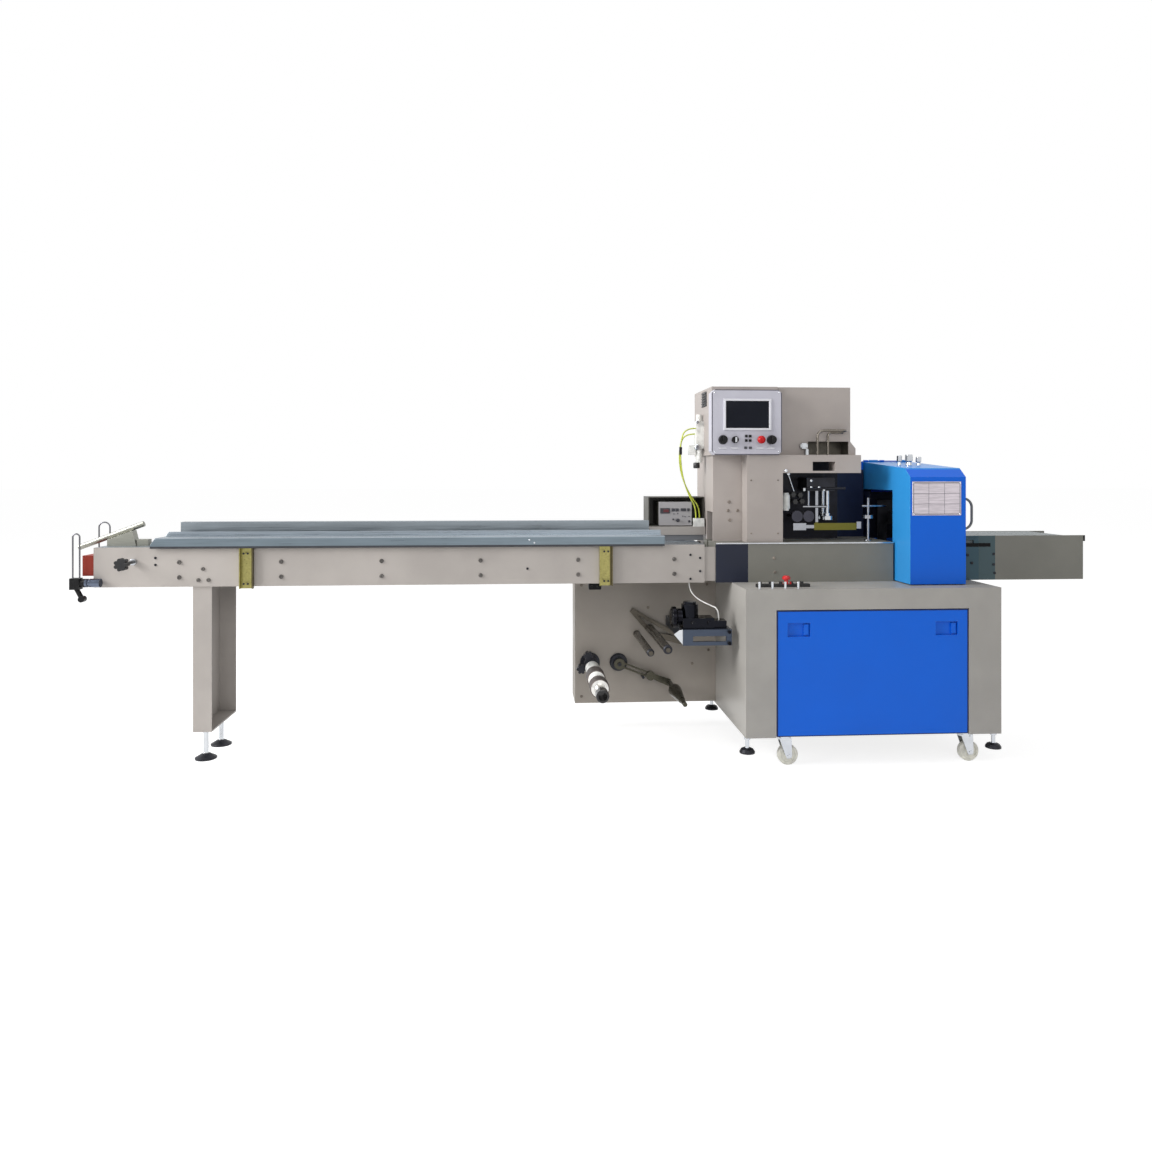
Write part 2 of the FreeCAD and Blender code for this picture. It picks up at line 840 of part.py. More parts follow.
def make_dancer(fixed):
    x = film_left + s.dancer_from_left
    z = s.dancer_height
    face = s.film_front
    depth = s.dancer_hub_depth
    angle = s.dancer_drop_angle
    hub = turned(
        "dancer_disc",
        "y",
        stepped([(-depth - 34, -depth, 8), (-depth, -8, s.dancer_hub_radius - 4), (-8, 0, s.dancer_hub_radius)]),
        x,
        face,
        z,
    )
    below = s.dancer_width / 2 + 6 + s.turning_gap
    stop_x = x + 120 * cosine(angle) - below * sine(angle)
    stop_z = z - 120 * sine(angle) - below * cosine(angle)
    stop = cylinder("dancer_stop", "y", stop_x, face - depth - 22, stop_z, 6, depth + 22)
    node(compound("film_guides", [fixed, hub, stop]), "film_guides")

    back = face - depth - 2
    front = back - s.dancer_thick
    rod = 7
    half = (s.dancer_width - rod) / 2
    arm = []
    for side in (-1, 1):
        rod_x = x + half * side * sine(angle)
        rod_z = z + half * side * cosine(angle)
        arm += bar(f"dancer_rod_{side + 2}", rod_x, rod_z, angle, s.dancer_length * 0.6, rod, front, back)
    blade = new_body("dancer_blade")
    reach = s.dancer_length
    taper = [(reach * 0.55, -10), (reach, -15), (reach + 8, 0), (reach, 15), (reach * 0.55, 10)]
    pad(blade, "XZ", taper, front, back)
    arm.append(put(blade, x, 0, z, ((0, 1, 0), angle)))
    eye = cylinder("dancer_eye", "y", x, front - 12, z, 24, s.dancer_thick + 12)
    end_x = x + s.dancer_length * cosine(angle)
    end_z = z - s.dancer_length * sine(angle)
    collar_x = x + s.dancer_length * 0.62 * cosine(angle)
    collar_z = z - s.dancer_length * 0.62 * sine(angle)
    collar = cylinder("dancer_collar", "y", collar_x, front - 10, collar_z, 20, s.dancer_thick + 10)
    tip = -s.dancer_reach
    paddle = [
        (tip, 0),
        (tip, 9),
        (tip + 60, 10),
        (tip + 66, 13),
        (tip + 215, 27),
        (tip + 235, 27),
        (tip + 250, 12),
        (tip + 366, 12),
        (tip + 366, 0),
    ]
    pin_body = turned("dancer_paddle", "y", paddle, end_x, face - 12, end_z)
    bore = cylinder("dancer_bore", "y", x, front - 13, z, 8 + s.turning_gap, s.dancer_thick + 14)
    arm_solid = fused("dancer_solid", arm + [eye, collar, pin_body])
    node(cut("dancer_arm", arm_solid, [bore]), "dancer_arm")


def make_coder():
    left = s.cabinet_left - s.coder_from_cabinet
    z = s.coder_height
    face = s.film_front
    body = new_body("coder_channel")
    slotted = rectangle(left + 40, left + 236, z - 33, z + 30)
    pad(body, "XZ", slotted, -205, -190)
    pocket(body, "XZ", rectangle(left + 80, left + 214, z - 18, z + 4), -206, -189)
    rail = box("coder_rail", left + 40, left + 72, -190, face, z - 20, z + 20)
    top_plate = box("coder_shelf", left + 40, left + 236, -190, -100, z + 26, z + 30)
    node(fused("coder_bracket", [body, rail, top_plate]), "coder_bracket")

    shelf = z + 30
    block = box("coder_block", left + 44, left + 170, -185, -105, shelf, shelf + 42)
    can = cylinder("coder_motor", "z", left + 78, -145, shelf + 42, 34, 52)
    cap = cylinder("coder_motor_cap", "z", left + 78, -145, shelf + 94, 26, 10)
    nose = box("coder_nose", left + 170, left + 222, -175, -120, shelf, shelf + 30)
    rim = [(0, 0), (0, 30), (6, 42), (20, 42), (26, 34), (44, 34), (44, 0)]
    drum = turned("coder_drum", "x", rim, left, -145, shelf + 42)
    machine = fused("coder_machine", [block, can, cap, nose, drum])

    screws = []
    for dz in (-24, 21):
        screws.append(cylinder("coder_screw", "y", left + 225, -215, z + dz, 7, 10))
    for dx in (84, 150):
        screws.append(cylinder("coder_bolt", "y", left + dx, -197, shelf + 22, 8, 12))
    cheek = pad(
        new_body("coder_cheek"),
        "XZ",
        [(left + 4, z + 12), (left + 40, z - 30), (left + 40, z + 30), (left + 26, z + 28)],
        -200,
        -193,
    )
    node(compound("date_coder", [machine, cheek] + screws), "date_coder")

    hose = [
        (left + 92, -60, deck),
        (left + 92, -60, deck - 28),
        (left + 116, -85, deck - 64),
        (left + 165, -118, deck - 88),
        (left + 196, -148, deck - 98),
        (left + 196, -148, shelf + 30),
    ]
    node(wire("coder_hose", hose, 2.5), "coder_hose")


def side_plate(name, front, back):
    """One long side plate of the infeed, drilled for its cross ties."""
    body = new_body(name)
    pad(body, "XZ", rectangle(s.infeed_left, infeed_right, deck, bed), front, back)
    centres = [(x, z) for x in tie_stations() for z in tie_levels()]
    drill(body, "XZ", centres, s.tie_radius, front - 1, back + 1)
    return body


def tie_stations():
    return [s.infeed_left + s.tie_first + s.tie_pitch * place for place in range(6)]


def tie_levels():
    return [deck + s.tie_rise, deck + s.tie_rise - s.tie_split]


def make_infeed():
    boss_x = s.infeed_left + s.knob_from_left
    boss_z = deck + s.knob_rise
    front = side_plate("front_plate", plates_front, inner_front)
    boss = turned(
        "tension_boss",
        "y",
        stepped([(-12, 0, 13)], s.knob_shaft_radius + s.turning_gap),
        boss_x,
        plates_front,
        boss_z,
    )
    front_solid = fused("drilled_front_plate", [front, boss])
    back_solid = side_plate("back_plate", inner_back, plates_back)
    node(compound("infeed_side_plates", [front_solid, back_solid]), "infeed_side_plates")

    half_slot = s.bed_slot / 2
    low = bed - s.bed_thick
    beds = [
        box("front_bed", s.infeed_left, infeed_right, inner_front, s.product_line - half_slot, low, bed),
        box("back_bed", s.infeed_left, infeed_right, s.product_line + half_slot, inner_back, low, bed),
    ]
    node(compound("infeed_bed", beds), "infeed_bed")

    ties = []
    for x in tie_stations():
        for z in tie_levels():
            ties.append(cylinder("cross_tie", "y", x, plates_front, z, s.tie_radius, s.belt_width))

    centre_z = bed - s.bed_thick - s.sprocket_radius - s.chain_thick + 4
    left_x = s.infeed_left + s.sprocket_from_left
    right_x = infeed_right - s.sprocket_from_right
    outer = s.sprocket_radius + s.chain_thick
    wide = s.chain_width
    y0 = s.product_line - wide / 2
    y1 = y0 + wide

    def loop(name, radius, grow):
        return fused(
            name,
            [
                box(name + "_run", left_x, right_x, y0 - grow, y1 + grow, centre_z - radius, centre_z + radius),
                cylinder(name + "_left", "y", left_x, y0 - grow, centre_z, radius, wide + grow * 2),
                cylinder(name + "_right", "y", right_x, y0 - grow, centre_z, radius, wide + grow * 2),
            ],
        )

    chain = cut("chain_loop", loop("chain_outer", outer, 0), [loop("chain_inner", s.sprocket_radius, 1)])
    lugs = []
    for place in range(7):
        x = left_x + 120 + s.lug_pitch * place
        lugs.append(box("pusher", x, x + s.lug_length, y0, y1, centre_z + outer - 1, bed + s.lug_height))
    node(fused("infeed_chain", [chain] + lugs), "infeed_chain")

    wheels = []
    for x in (left_x, right_x):
        hub = y0 - inner_front
        steps = [
            (0, hub - 12, 10),
            (hub - 12, hub, 30),
            (hub, hub + s.chain_width, s.sprocket_radius),
            (hub + s.chain_width, hub + s.chain_width + 12, 30),
            (hub + s.chain_width + 12, inner_back - inner_front, 10),
        ]
        wheel = turned("sprocket", "y", stepped(steps), x, inner_front, centre_z)
        gap = (s.sprocket_radius + 1, 0)
        drill(wheel, "XZ", [gap], s.chain_roller, hub - 1, hub + s.chain_width + 1)
        wheels.append(repeat_round(wheel, SPROCKET_TEETH))
    node(compound("infeed_shafts", ties + wheels), "infeed_shafts")

    sheet = 4
    nose = new_body("infeed_nose")
    pad(nose, "XZ", rectangle(infeed_right, s.table_left, deck + 6, bed - 10), inner_front, inner_back)
    inside = rectangle(infeed_right - 1, s.table_left + 1, deck + 6 + sheet, bed)
    pocket(nose, "XZ", inside, inner_front + sheet, inner_back - sheet)
    block_left = s.infeed_left - s.end_block_out
    block = box("end_block", block_left, s.infeed_left + 12, inner_front, inner_back, deck + 45, deck + 125)
    node(compound("infeed_ends", [nose, block]), "infeed_ends")


def make_leg():
    left = s.infeed_left + s.leg_from_left
    right = left + s.leg_length
    sheet = s.leg_sheet
    low = s.floor_clearance - 3
    top = deck + s.leg_overlap
    web = box("leg_web", left, left + sheet, inner_front, inner_back, low, deck)
    front = box("leg_front_flange", left, right, inner_front, inner_front + sheet, low, top)
    back = box("leg_back_flange", left, right, inner_back - sheet, inner_back, low, top)
    floor = box("leg_floor", left, right, inner_front, inner_back, low, low + 6)
    node(fused("infeed_leg", [web, front, back, floor]), "infeed_leg")
    profile = [
        (0, 0),
        (0, s.leg_foot_radius),
        (5, s.leg_foot_radius),
        (12, s.leg_foot_radius * 0.7),
        (20, s.leg_foot_radius * 0.4),
        (24, 10),
        (low - 14, 10),
        (low - 14, 16),
        (low, 16),
        (low, 0),
    ]
    return [turned("leg_foot", "z", profile, left + 30, s.product_line + dy) for dy in (-90, 90)]


def make_rails():
    sheet = s.rail_sheet
    left = s.rail_left
    inner = s.product_line - s.rail_half_gap
    outer = plates_front - s.rail_skirt_out
    ledge = bed - 4 + s.rail_skirt
    top = bed + s.front_rail_rise
    profile = [
        (outer, bed - 4),
        (outer + sheet, bed - 4),
        (outer + sheet, ledge - sheet),
        (inner - sheet, ledge - sheet),
        (inner - sheet, bed),
        (inner, bed),
        (inner, top),
        (inner - sheet, top),
        (inner - sheet, ledge),
        (outer, ledge),
    ]
    rail = pad(new_body("front_guide_rail"), "YZ", profile, left, left + s.rail_length)
    slant = [(left - 1, bed + 6), (left + s.rail_slant, top + 1), (left - 1, top + 1)]
    rails = [pocket(rail, "XZ", slant, outer - 1, inner + 1)]

    inner = s.product_line + s.rail_half_gap
    top = bed + s.back_rail_rise
    profile = [
        (inner, bed),
        (inner + 40, bed),
        (inner + 40, bed + sheet),
        (inner + sheet, bed + sheet),
        (inner + sheet, top - sheet),
        (inner + 45, top - sheet),
        (inner + 45, top),
        (inner, top),
    ]
    rails.append(pad(new_body("back_guide_rail"), "YZ", profile, left + 30, left + s.rail_length - 30))
    node(compound("guide_rails", rails), "guide_rails")

    channels = []
    sheet = s.bracket_sheet
    top = bed - 4
    half = s.bracket_width / 2
    for place in range(2):
        x = s.infeed_left + s.bracket_first + s.bracket_pitch * place
        for wall, out in ((plates_front, -1), (plates_back, 1)):
            tip = wall + s.bracket_out * out
            web = wall + sheet * out
            profile = [
                (x - half, wall),
                (x + half, wall),
                (x + half, tip),
                (x + half - sheet, tip),
                (x + half - sheet, web),
                (x - half + sheet, web),
                (x - half + sheet, tip),
                (x - half, tip),
            ]
            channels.append(pad(new_body("rail_bracket"), "XY", profile, deck - 8, top))
    node(compound("rail_brackets", channels), "rail_brackets")


def make_tension_knob():
    x = s.infeed_left + s.knob_from_left
    z = deck + s.knob_rise
    tip = plates_front - s.knob_reach
    knob = star_knob("tension", x, tip, z, s.knob_radius, s.knob_thick, 7)
    shaft_start = tip + s.knob_thick
    shaft = cylinder("tension_shaft", "y", x, shaft_start, z, s.knob_shaft_radius, plates_front - 1 - shaft_start)
    node(fused("tension_knob", knob + [shaft]), "tension_knob")


def make_left_end():
    left = s.infeed_left - s.end_block_out
    y_middle = s.product_line

    slope = 20.5
    rise = math.tan(math.radians(slope))
    start_x = s.infeed_left - 106
    start_z = bed - 7
    length = 272
    radius = 11
    tube = doc.addObject("Part::Cylinder", "stop_tube")
    tube.Radius = radius
    tube.Height = length
    put(tube, start_x, y_middle - 50, start_z, ((0, 1, 0), 90 - slope))
    drop = radius / math.cos(math.radians(slope))
    near = 118
    far = 216
    wedge = [
        (start_x + near, bed),
        (start_x + far + 16, bed),
        (start_x + far, start_z + far * rise - drop),
        (start_x + near, start_z + near * rise - drop),
    ]
    wedge_body = pad(new_body("stop_wedge"), "XZ", wedge, y_middle - 70, y_middle - 30)
    clamp = box("stop_clamp", start_x + far + 16, start_x + far + 62, y_middle - 66, y_middle - 34, bed, bed + 26)
    node(compound("stop_bar", [tube, fused("stop_bracket", [wedge_body, clamp])]), "stop_bar")

    sensor_y = plates_front - 20
    block = box("sensor_block", left - 30, left + 6, sensor_y - 16, sensor_y + 16, deck - 4, deck + 40)
    stalk = doc.addObject("Part::Cylinder", "sensor_stalk")
    stalk.Radius = 9
    stalk.Height = 52
    put(stalk, left - 12, sensor_y, deck + 2, ((0, 1, 0), 152))
    blob = cylinder("sensor_tip", "y", left + 12, sensor_y - 12, deck - 42, 12, 24)
    sensor = fused("sensor_body", [block, stalk, blob])
    barrel = stepped([(0, 26, 17), (26, 34, 13), (34, 74, 17)])
    hooks = [sensor, turned("sensor_barrel", "x", barrel, left + 6, sensor_y + 3, deck + 20)]
    top = deck + 212
    foot = deck + 40
    x = left - 24
    loop = [(x, sensor_y, foot), (x, sensor_y, top), (x + 26, sensor_y, top), (x + 26, sensor_y, foot)]
    hooks.append(wire("front_hook", loop, 3, 12.5))
    top = deck + 245
    foot = deck + 131
    x = left - 30
    back_y = s.product_line + 50
    loop = [(x, back_y, foot), (x, back_y, top), (x + 44, back_y, top), (x + 44, back_y, foot)]
    hooks.append(wire("back_hook", loop, 3, 21))
    hooks.append(box("hook_plate", left - 40, left + 30, back_y - 20, back_y + 20, deck + 125, deck + 131))
    node(compound("end_sensor", hooks), "end_sensor")


def make_table():
    body = new_body("table_frame")
    step = tower_right
    back = s.tower_front
    deep = s.product_line + s.table_back_reach
    outline = [
        (navy_right, s.table_front),
        (table_right, s.table_front),
        (table_right, deep),
        (step, deep),
        (step, back),
        (s.table_left, back),
        (s.table_left, s.table_front + s.navy_thick),
        (navy_right, s.table_front + s.navy_thick),
    ]
    pad(body, "XY", outline, deck, table)
    slot = rectangle(s.table_left - 1, table_right + 1, s.product_line - 12, s.product_line + 12)
    pocket(body, "XY", slot, table - 40, table + 1)
    front = s.table_front
    navy = box("navy_plate", s.table_left, navy_right, front, front + s.navy_thick, deck, table)
    lip = box("table_lip", s.table_left, table_right, front - s.table_lip, front, table - 5, table)
    node(compound("table_housing", [body, navy, lip]), "table_housing")


def make_tower():
    body = new_body("tower_column")
    pad(body, "XY", rectangle(s.tower_left, tower_right, s.tower_front, tower_back), deck, arm_top)
    head_left = s.tower_left - 12
    body_two = new_body("tower_head_right")
    profile = [
        (head_left, arm_top),
        (tower_right + 23, arm_top),
        (tower_right + 23, arm_top + 29),
        (tower_right, arm_top + 58),
        (tower_right, tower_top),
        (head_left, tower_top),
    ]
    pad(body_two, "XZ", profile, s.head_front_right, tower_back)
    panel_right = s.panel_left + s.panel_length
    recess = rectangle(tower_right - 183, tower_right - 8, arm_top + 3, arm_top + 58)
    pocket(body_two, "XZ", recess, s.head_front_right - 1, s.head_front_right + 90)
    lip = box(
        "panel_mount",
        head_left,
        panel_right,
        s.head_front_left,
        s.head_front_right,
        arm_top,
        tower_top,
    )
    node(fused("tower", [body, body_two, lip]), "tower")

    right = navy_right
    tunnel_front = s.product_line - s.tunnel_width / 2
    form = new_body("forming_box")
    left = right - s.forming_length
    pad(form, "YZ", rectangle(s.forming_front, s.tower_front, table, arm_top), left, right)
    tunnel = rectangle(tunnel_front, tunnel_front + s.tunnel_width, table - 1, table + s.tunnel_height)
    pocket(form, "YZ", tunnel, left - 1, right + 1)

    body = new_body("forming_post")
    outline = [
        (navy_right, table),
        (navy_right + s.post_length, table),
        (navy_right + s.post_length, arm_top - s.arm_drop),
        (navy_right + s.arm_length, arm_top - s.arm_drop),
        (navy_right + s.arm_length, arm_top),
        (navy_right, arm_top),
    ]
    pad(body, "XZ", outline, s.post_front, s.forming_front)
    window = rectangle(tower_right - 183, tower_right - 87, arm_top - 66, arm_top - 28)
    pocket(body, "XZ", window, s.post_front - 1, s.forming_front + 1)
    node(compound("forming_housing", [form, body]), "forming_housing")


def make_panel():
    left = s.panel_left
    right = left + s.panel_length
    front = s.panel_front
    top = arm_top + s.panel_height
    body = new_body("panel_case")
    corner = 14
    outline = [
        (left + corner, arm_top),
        (right - corner, arm_top),
        (right, arm_top + corner),
        (right, top - corner),
        (right - corner, top),
        (left + corner, top),
        (left, top - corner),
        (left, arm_top + corner),
    ]
    pad(body, "XZ", outline, front, s.head_front_left)
    screen = rectangle(left + 54, right - 50, arm_top + 106, arm_top + 226)
    pocket(body, "XZ", screen, front - 1, front + 4)
    glass = box("screen_glass", left + 58, right - 54, front + 2, front + 4, arm_top + 110, arm_top + 222)
    node(compound("control_panel", [body, glass]), "control_panel")
    row = arm_top + 62
    switches = []
    for dx, radius, reach in ((46, 17, 16), (96, 14, 12), (248, 18, 20)):
        base = cylinder("switch_base", "y", left + dx, front - reach, row, radius, reach)
        grip = box("switch_grip", left + dx - 4, left + dx + 4, front - reach - 12, front - reach, row - 14, row + 14)
        switches.append(fused("switch", [base, grip]))
    for dx in (138, 154):
        for dz in (-8, 10):
            switches.append(box("key", left + dx, left + dx + 10, front - 6, front, row + dz, row + dz + 10))
    profile = [(0, 0), (0, 9), (-14, 9), (-14, 16), (-24, 16), (-30, 9), (-30, 0)]
    switches.append(turned("panel_stop_button", "y", profile, left + 202, front, row))
    node(compound("panel_controls", switches), "panel_controls")

    face = s.head_front_right
    pipes = []
    for number, start, end, out, rise, bend in ((1, 154, 23, 34, 103, 28), (2, 104, 36, 20, 95, 16)):
        first = tower_right - start
        last = tower_right - end
        y = face - out
        z = arm_top + rise
        route = [(first, y, arm_top), (first, y, z), (last, y, z), (last, face, z)]
        pipes.append(wire(f"lift_pipe_{number}", route, s.handle_radius.value, bend))
    node(compound("lift_handle", pipes), "lift_handle")


def make_fin_seal():
    x = s.fin_x
    low = deck + s.fin_block_rise
    middle = s.product_line
    spread = s.fin_wheel_radius + s.fin_wheel_gap / 2
    bore_radius = s.fin_shaft_radius + s.turning_gap
    block = box("fin_block", x - 100, x + 22, middle - 60, s.tower_front, low, low + 56)
    cross = cylinder("fin_cross_bar", "x", x - 104, middle - 62, low + 10, 5, 170)
    plate = box("fin_back_plate", x - 200, x + 22, s.tower_front - 6, s.tower_front, low, arm_top - s.arm_drop)
    bores = []
    for side in (-1, 1):
        bores.append(cylinder("fin_bore", "z", x, middle + spread * side, low - 1, bore_radius, 42))
    node(cut("fin_seal_block", fused("fin_block_solid", [block, cross, plate]), bores), "fin_seal_block")

    wheel_low = deck + s.fin_wheel_rise
    for label, side in (("fin_wheel_front", -1), ("fin_wheel_back", 1)):
        steps = [
            (0, s.fin_wheel_thick, s.fin_wheel_radius),
            (s.fin_wheel_thick, s.fin_wheel_thick + 12, 14),
            (s.fin_wheel_thick + 12, low - wheel_low + 36, s.fin_shaft_radius),
        ]
        wheel = turned(label, "z", stepped(steps), x, middle + spread * side, wheel_low)
        node(wheel, label)

    guide_y = s.forming_front + 5
    guide_z = deck + 207
    guide = [
        box("guide_strip", x - 68, x + 115, guide_y, guide_y + 8, guide_z, guide_z + 30),
        box("guide_shoe", x - 160, x - 104, guide_y - 4, guide_y + 8, guide_z, guide_z + 30),
        box("guide_link", x - 104, x - 68, guide_y, guide_y + 8, guide_z + 8, guide_z + 22),
        box("guide_end", x + 115, x + 135, guide_y - 4, guide_y + 8, guide_z + 6, guide_z + 36),
        box("guide_hanger", x - 60, x - 48, guide_y + 8, guide_y + 14, guide_z, low),
    ]
    fittings = [fused("fin_guide", guide)]

    bars = [
        cylinder("fin_lower_bar", "x", x - 118, middle - 58, low - 67, 5, 104),
        cylinder("fin_bar_post", "z", x - 92, middle - 56, low - 67, 5, 67),
    ]
    fittings.append(fused("fin_bars", bars))

    post_x = x + 157
    post_y = s.forming_front - 19
    stack = [(table, table + 5, 16), (table + 5, table + 95, 5), (table + 95, table + 109, 24), (table + 109, table + 182, 5)]
    stand = [
        turned("fin_stand", "z", stepped(stack), post_x, post_y),
        cylinder("fin_right_bar", "x", post_x - 27, post_y, table + 147, 4, 103),
    ]
    fittings.append(fused("fin_right_stand", stand))

    wall = s.tower_front
    knob_y = middle - 62
    for number, (dx, dz) in enumerate(((-158, -16), (-128, -18), (-150, -46), (-120, -44)), start=1):
        knob = star_knob(f"fin_knob_{number}", x + dx, knob_y, low + dz, 12, 20, 6)
        post = cylinder(f"fin_knob_post_{number}", "y", x + dx, knob_y + 20, low + dz, 5, wall - knob_y - 20)
        fittings.append(fused(f"fin_adjuster_{number}", knob + [post]))
    for number, dx in enumerate((-142, -92), start=1):
        wheel = stepped([(0, 4, 24), (4, 10, 21), (10, 14, 24), (14, wall - knob_y, 7)])
        fittings.append(turned(f"fin_pulley_{number}", "y", wheel, x + dx, knob_y, table + 103))
    sleeve_x = x - 187
    sleeve = [
        turned("fin_sleeve", "z", stepped([(-38, -30, 12), (-30, 30, 16), (30, 38, 12)]), sleeve_x, middle - 50, low - 46),
        cylinder("fin_sleeve_arm", "y", sleeve_x, middle - 50, low - 46, 8, wall - middle + 50),
    ]
    fittings.append(fused("fin_sleeve_support", sleeve))
    node(compound("fin_fittings", fittings), "fin_fittings")


def make_guard():
    left = guard_left
    right = guard_right
    front = s.guard_front
    sheet = s.guard_sheet
    hinge_y = s.guard_hinge_y
    hinge_z = deck + s.guard_hinge_rise
    back = hinge_y - 4
    top = hinge_z - 4
    body = new_body("guard_hood")
    outer = [
        (front, deck + 4),
        (front + 165, deck + 4),
        (front + 165, top - 122),
        (back, top - 122),
        (back, top),
        (front + 50, top - 30),
        (front, top - 66),
    ]
    pad(body, "YZ", outer, left, right)
    inner = [
        (front + sheet, deck),
        (back + 1, deck),
        (back + 1, top - sheet),
        (front + 51, top - 30 - sheet),
        (front + sheet, top - 68),
    ]
    pocket(body, "YZ", inner, left + sheet, right - sheet)
    knuckles = []
    for start in (left + 30, right - 70):
        knuckles.append(cylinder("moving_knuckle", "x", start, hinge_y, hinge_z, 6, 40))
    bore = cylinder("knuckle_bore", "x", left, hinge_y, hinge_z, 3 + s.turning_gap, s.guard_length)
    hood = cut("guard_solid", fused("guard_parts", [body] + knuckles), [bore])
    node(hood, "end_guard")

    house_front = hinge_y + 8
    low_front = s.product_line + 100
    profile = [
        (low_front, deck),
        (cabinet_back, deck),
        (cabinet_back, top),
        (house_front, top),
        (house_front, top - 134),
        (low_front, top - 134),
    ]
    house = pad(new_body("guard_house"), "YZ", profile, left, right)
    near = s.product_line + s.table_back_reach
    step = left - s.guard_swing_gap
    links = [
        box("house_link", tower_right, left, house_front, cabinet_back, deck, top),
        box("house_link_front", tower_right, step, near, house_front, deck, top),
    ]
    leaves = []
    for start in (left + 4, left + 80, right - 24):
        leaves.append(box("hinge_leaf", start, start + 20, hinge_y, house_front + 16, top, top + 4))
        leaves.append(cylinder("fixed_knuckle", "x", start, hinge_y, hinge_z, 5.4, 20))
    rod = cylinder("hinge_rod", "x", left + 4, hinge_y, hinge_z, 3, s.guard_length - 8)
    node(fused("guard_rear_housing", [house, rod] + links + leaves), "guard_rear_housing")

    grip_z = deck + 223
    reach = right + s.grip_reach
    grip_y = front + 30
    grip_top = grip_z + s.grip_length
    loop = [(right, grip_y, grip_z), (reach, grip_y, grip_z), (reach, grip_y, grip_top), (right, grip_y, grip_top)]
    node(wire("guard_handle", loop, 5, 36), "guard_handle")

    slope = math.atan2(30, (back - front - 50).value)
    catch_y = s.product_line - 50
    roof = top - 30 + (catch_y - front - 50).value * math.tan(slope)
    catches = []
    for number, (dx, radius, tall) in enumerate(((66, 11, 42), (108, 16, 46), (151, 12, 36)), start=1):
        profile = [
            (0, 0),
            (0, radius - 3),
            (tall * 0.3, radius - 5),
            (tall * 0.4, radius),
            (tall - 3, radius),
            (tall, radius - 2),
            (tall, 0),
        ]
        catch = turned(f"guard_catch_{number}", "z", profile)
        catches.append(put(catch, left + dx, catch_y, roof, ((1, 0, 0), math.degrees(slope))))
    node(compound("guard_fittings", catches), "guard_fittings")


def make_jaws():
    left = guard_left + 27
    right = guard_right - 27
    front = s.product_line - 125
    back = s.product_line + 90
    top = deck + 330
    middle_x = (left + right) / 2
    middle_z = table
    sides = []
    for start in (front, back - 10):
        body = new_body("jaw_side")
        pad(body, "XZ", rectangle(left, right, deck, top), start, start + 10)
        pocket(body, "XZ", rectangle(left + 40, right - 40, middle_z - 24, middle_z + 60), start - 1, start + 11)
        sides.append(body)
    jaws = []
    for side in (-1, 1):
        z = middle_z + (s.jaw_gap / 2 + 30) * side
        shaft = cylinder("jaw_shaft", "y", middle_x, front + 10, z, 15, back - 10 - front - 10)
        inner = front + 30
        outer = back - 30
        block = box("jaw_block", middle_x - 50, middle_x + 50, inner, outer, z - 22, z + 22)
        jaws.append(fused("jaw", [shaft, block]))
    node(compound("end_seal_jaws", sides + jaws), "end_seal_jaws")


def make_outfeed():
    left = outfeed_left
    right = outfeed_right
    half = s.outfeed_width / 2
    front = s.product_line - half
    back = s.product_line + half
    plate = s.outfeed_plate
    top = deck + s.outfeed_rise
    mount = new_body("outfeed_mount")
    mount_right = left + s.outfeed_mount_length
    pad(mount, "XZ", rectangle(left + 4, mount_right, deck, top - 10), front - 3, front)
    side = new_body("outfeed_front_side")
    pad(side, "XZ", rectangle(left, right, deck, top), front, front + plate)
    slot = rectangle(left + 13, mount_right - 21, top - 31, top - 18)
    for panel in (mount, side):
        pocket(panel, "XZ", slot, front - 4, front + plate + 1)
    sides = [mount, side, box("outfeed_back_side", left, right, back - plate, back, deck, top)]
    ties = []
    for x in (left + 150, right - 150):
        ties.append(cylinder("outfeed_tie", "y", x, front + plate, deck + 60, 8, s.outfeed_width - plate * 2))
    cap = box("outfeed_cap", right, right + 9, front, front + plate, top - 25, top)
    node(fused("outfeed_frame", sides + ties + [cap]), "outfeed_frame")

    radius = 78
    drum_z = top - s.belt_below_top - radius
    gap = 4
    y0 = front + plate + gap
    width = s.outfeed_width - plate * 2 - gap * 2
    start = left + radius + 2
    end = right - radius - 2

    def loop(name, size_, grow):
        return fused(
            name,
            [
                box(name + "_run", start, end, y0 - grow, y0 + width + grow, drum_z - size_, drum_z + size_),
                cylinder(name + "_near", "y", start, y0 - grow, drum_z, size_, width + grow * 2),
                cylinder(name + "_far", "y", end, y0 - grow, drum_z, size_, width + grow * 2),
            ],
        )

    drum = radius - s.belt_thick
    belt = cut("belt_loop", loop("belt_outer", radius, 0), [loop("belt_inner", drum, 1)])
    drums = []
    for x in (start, end):
        steps = [(0, gap, 12), (gap, gap + width, drum), (gap + width, gap * 2 + width, 12)]
        drums.append(turned("outfeed_drum", "y", stepped(steps), x, front + plate, drum_z))
    node(compound("outfeed_belt", [belt] + drums), "outfeed_belt")


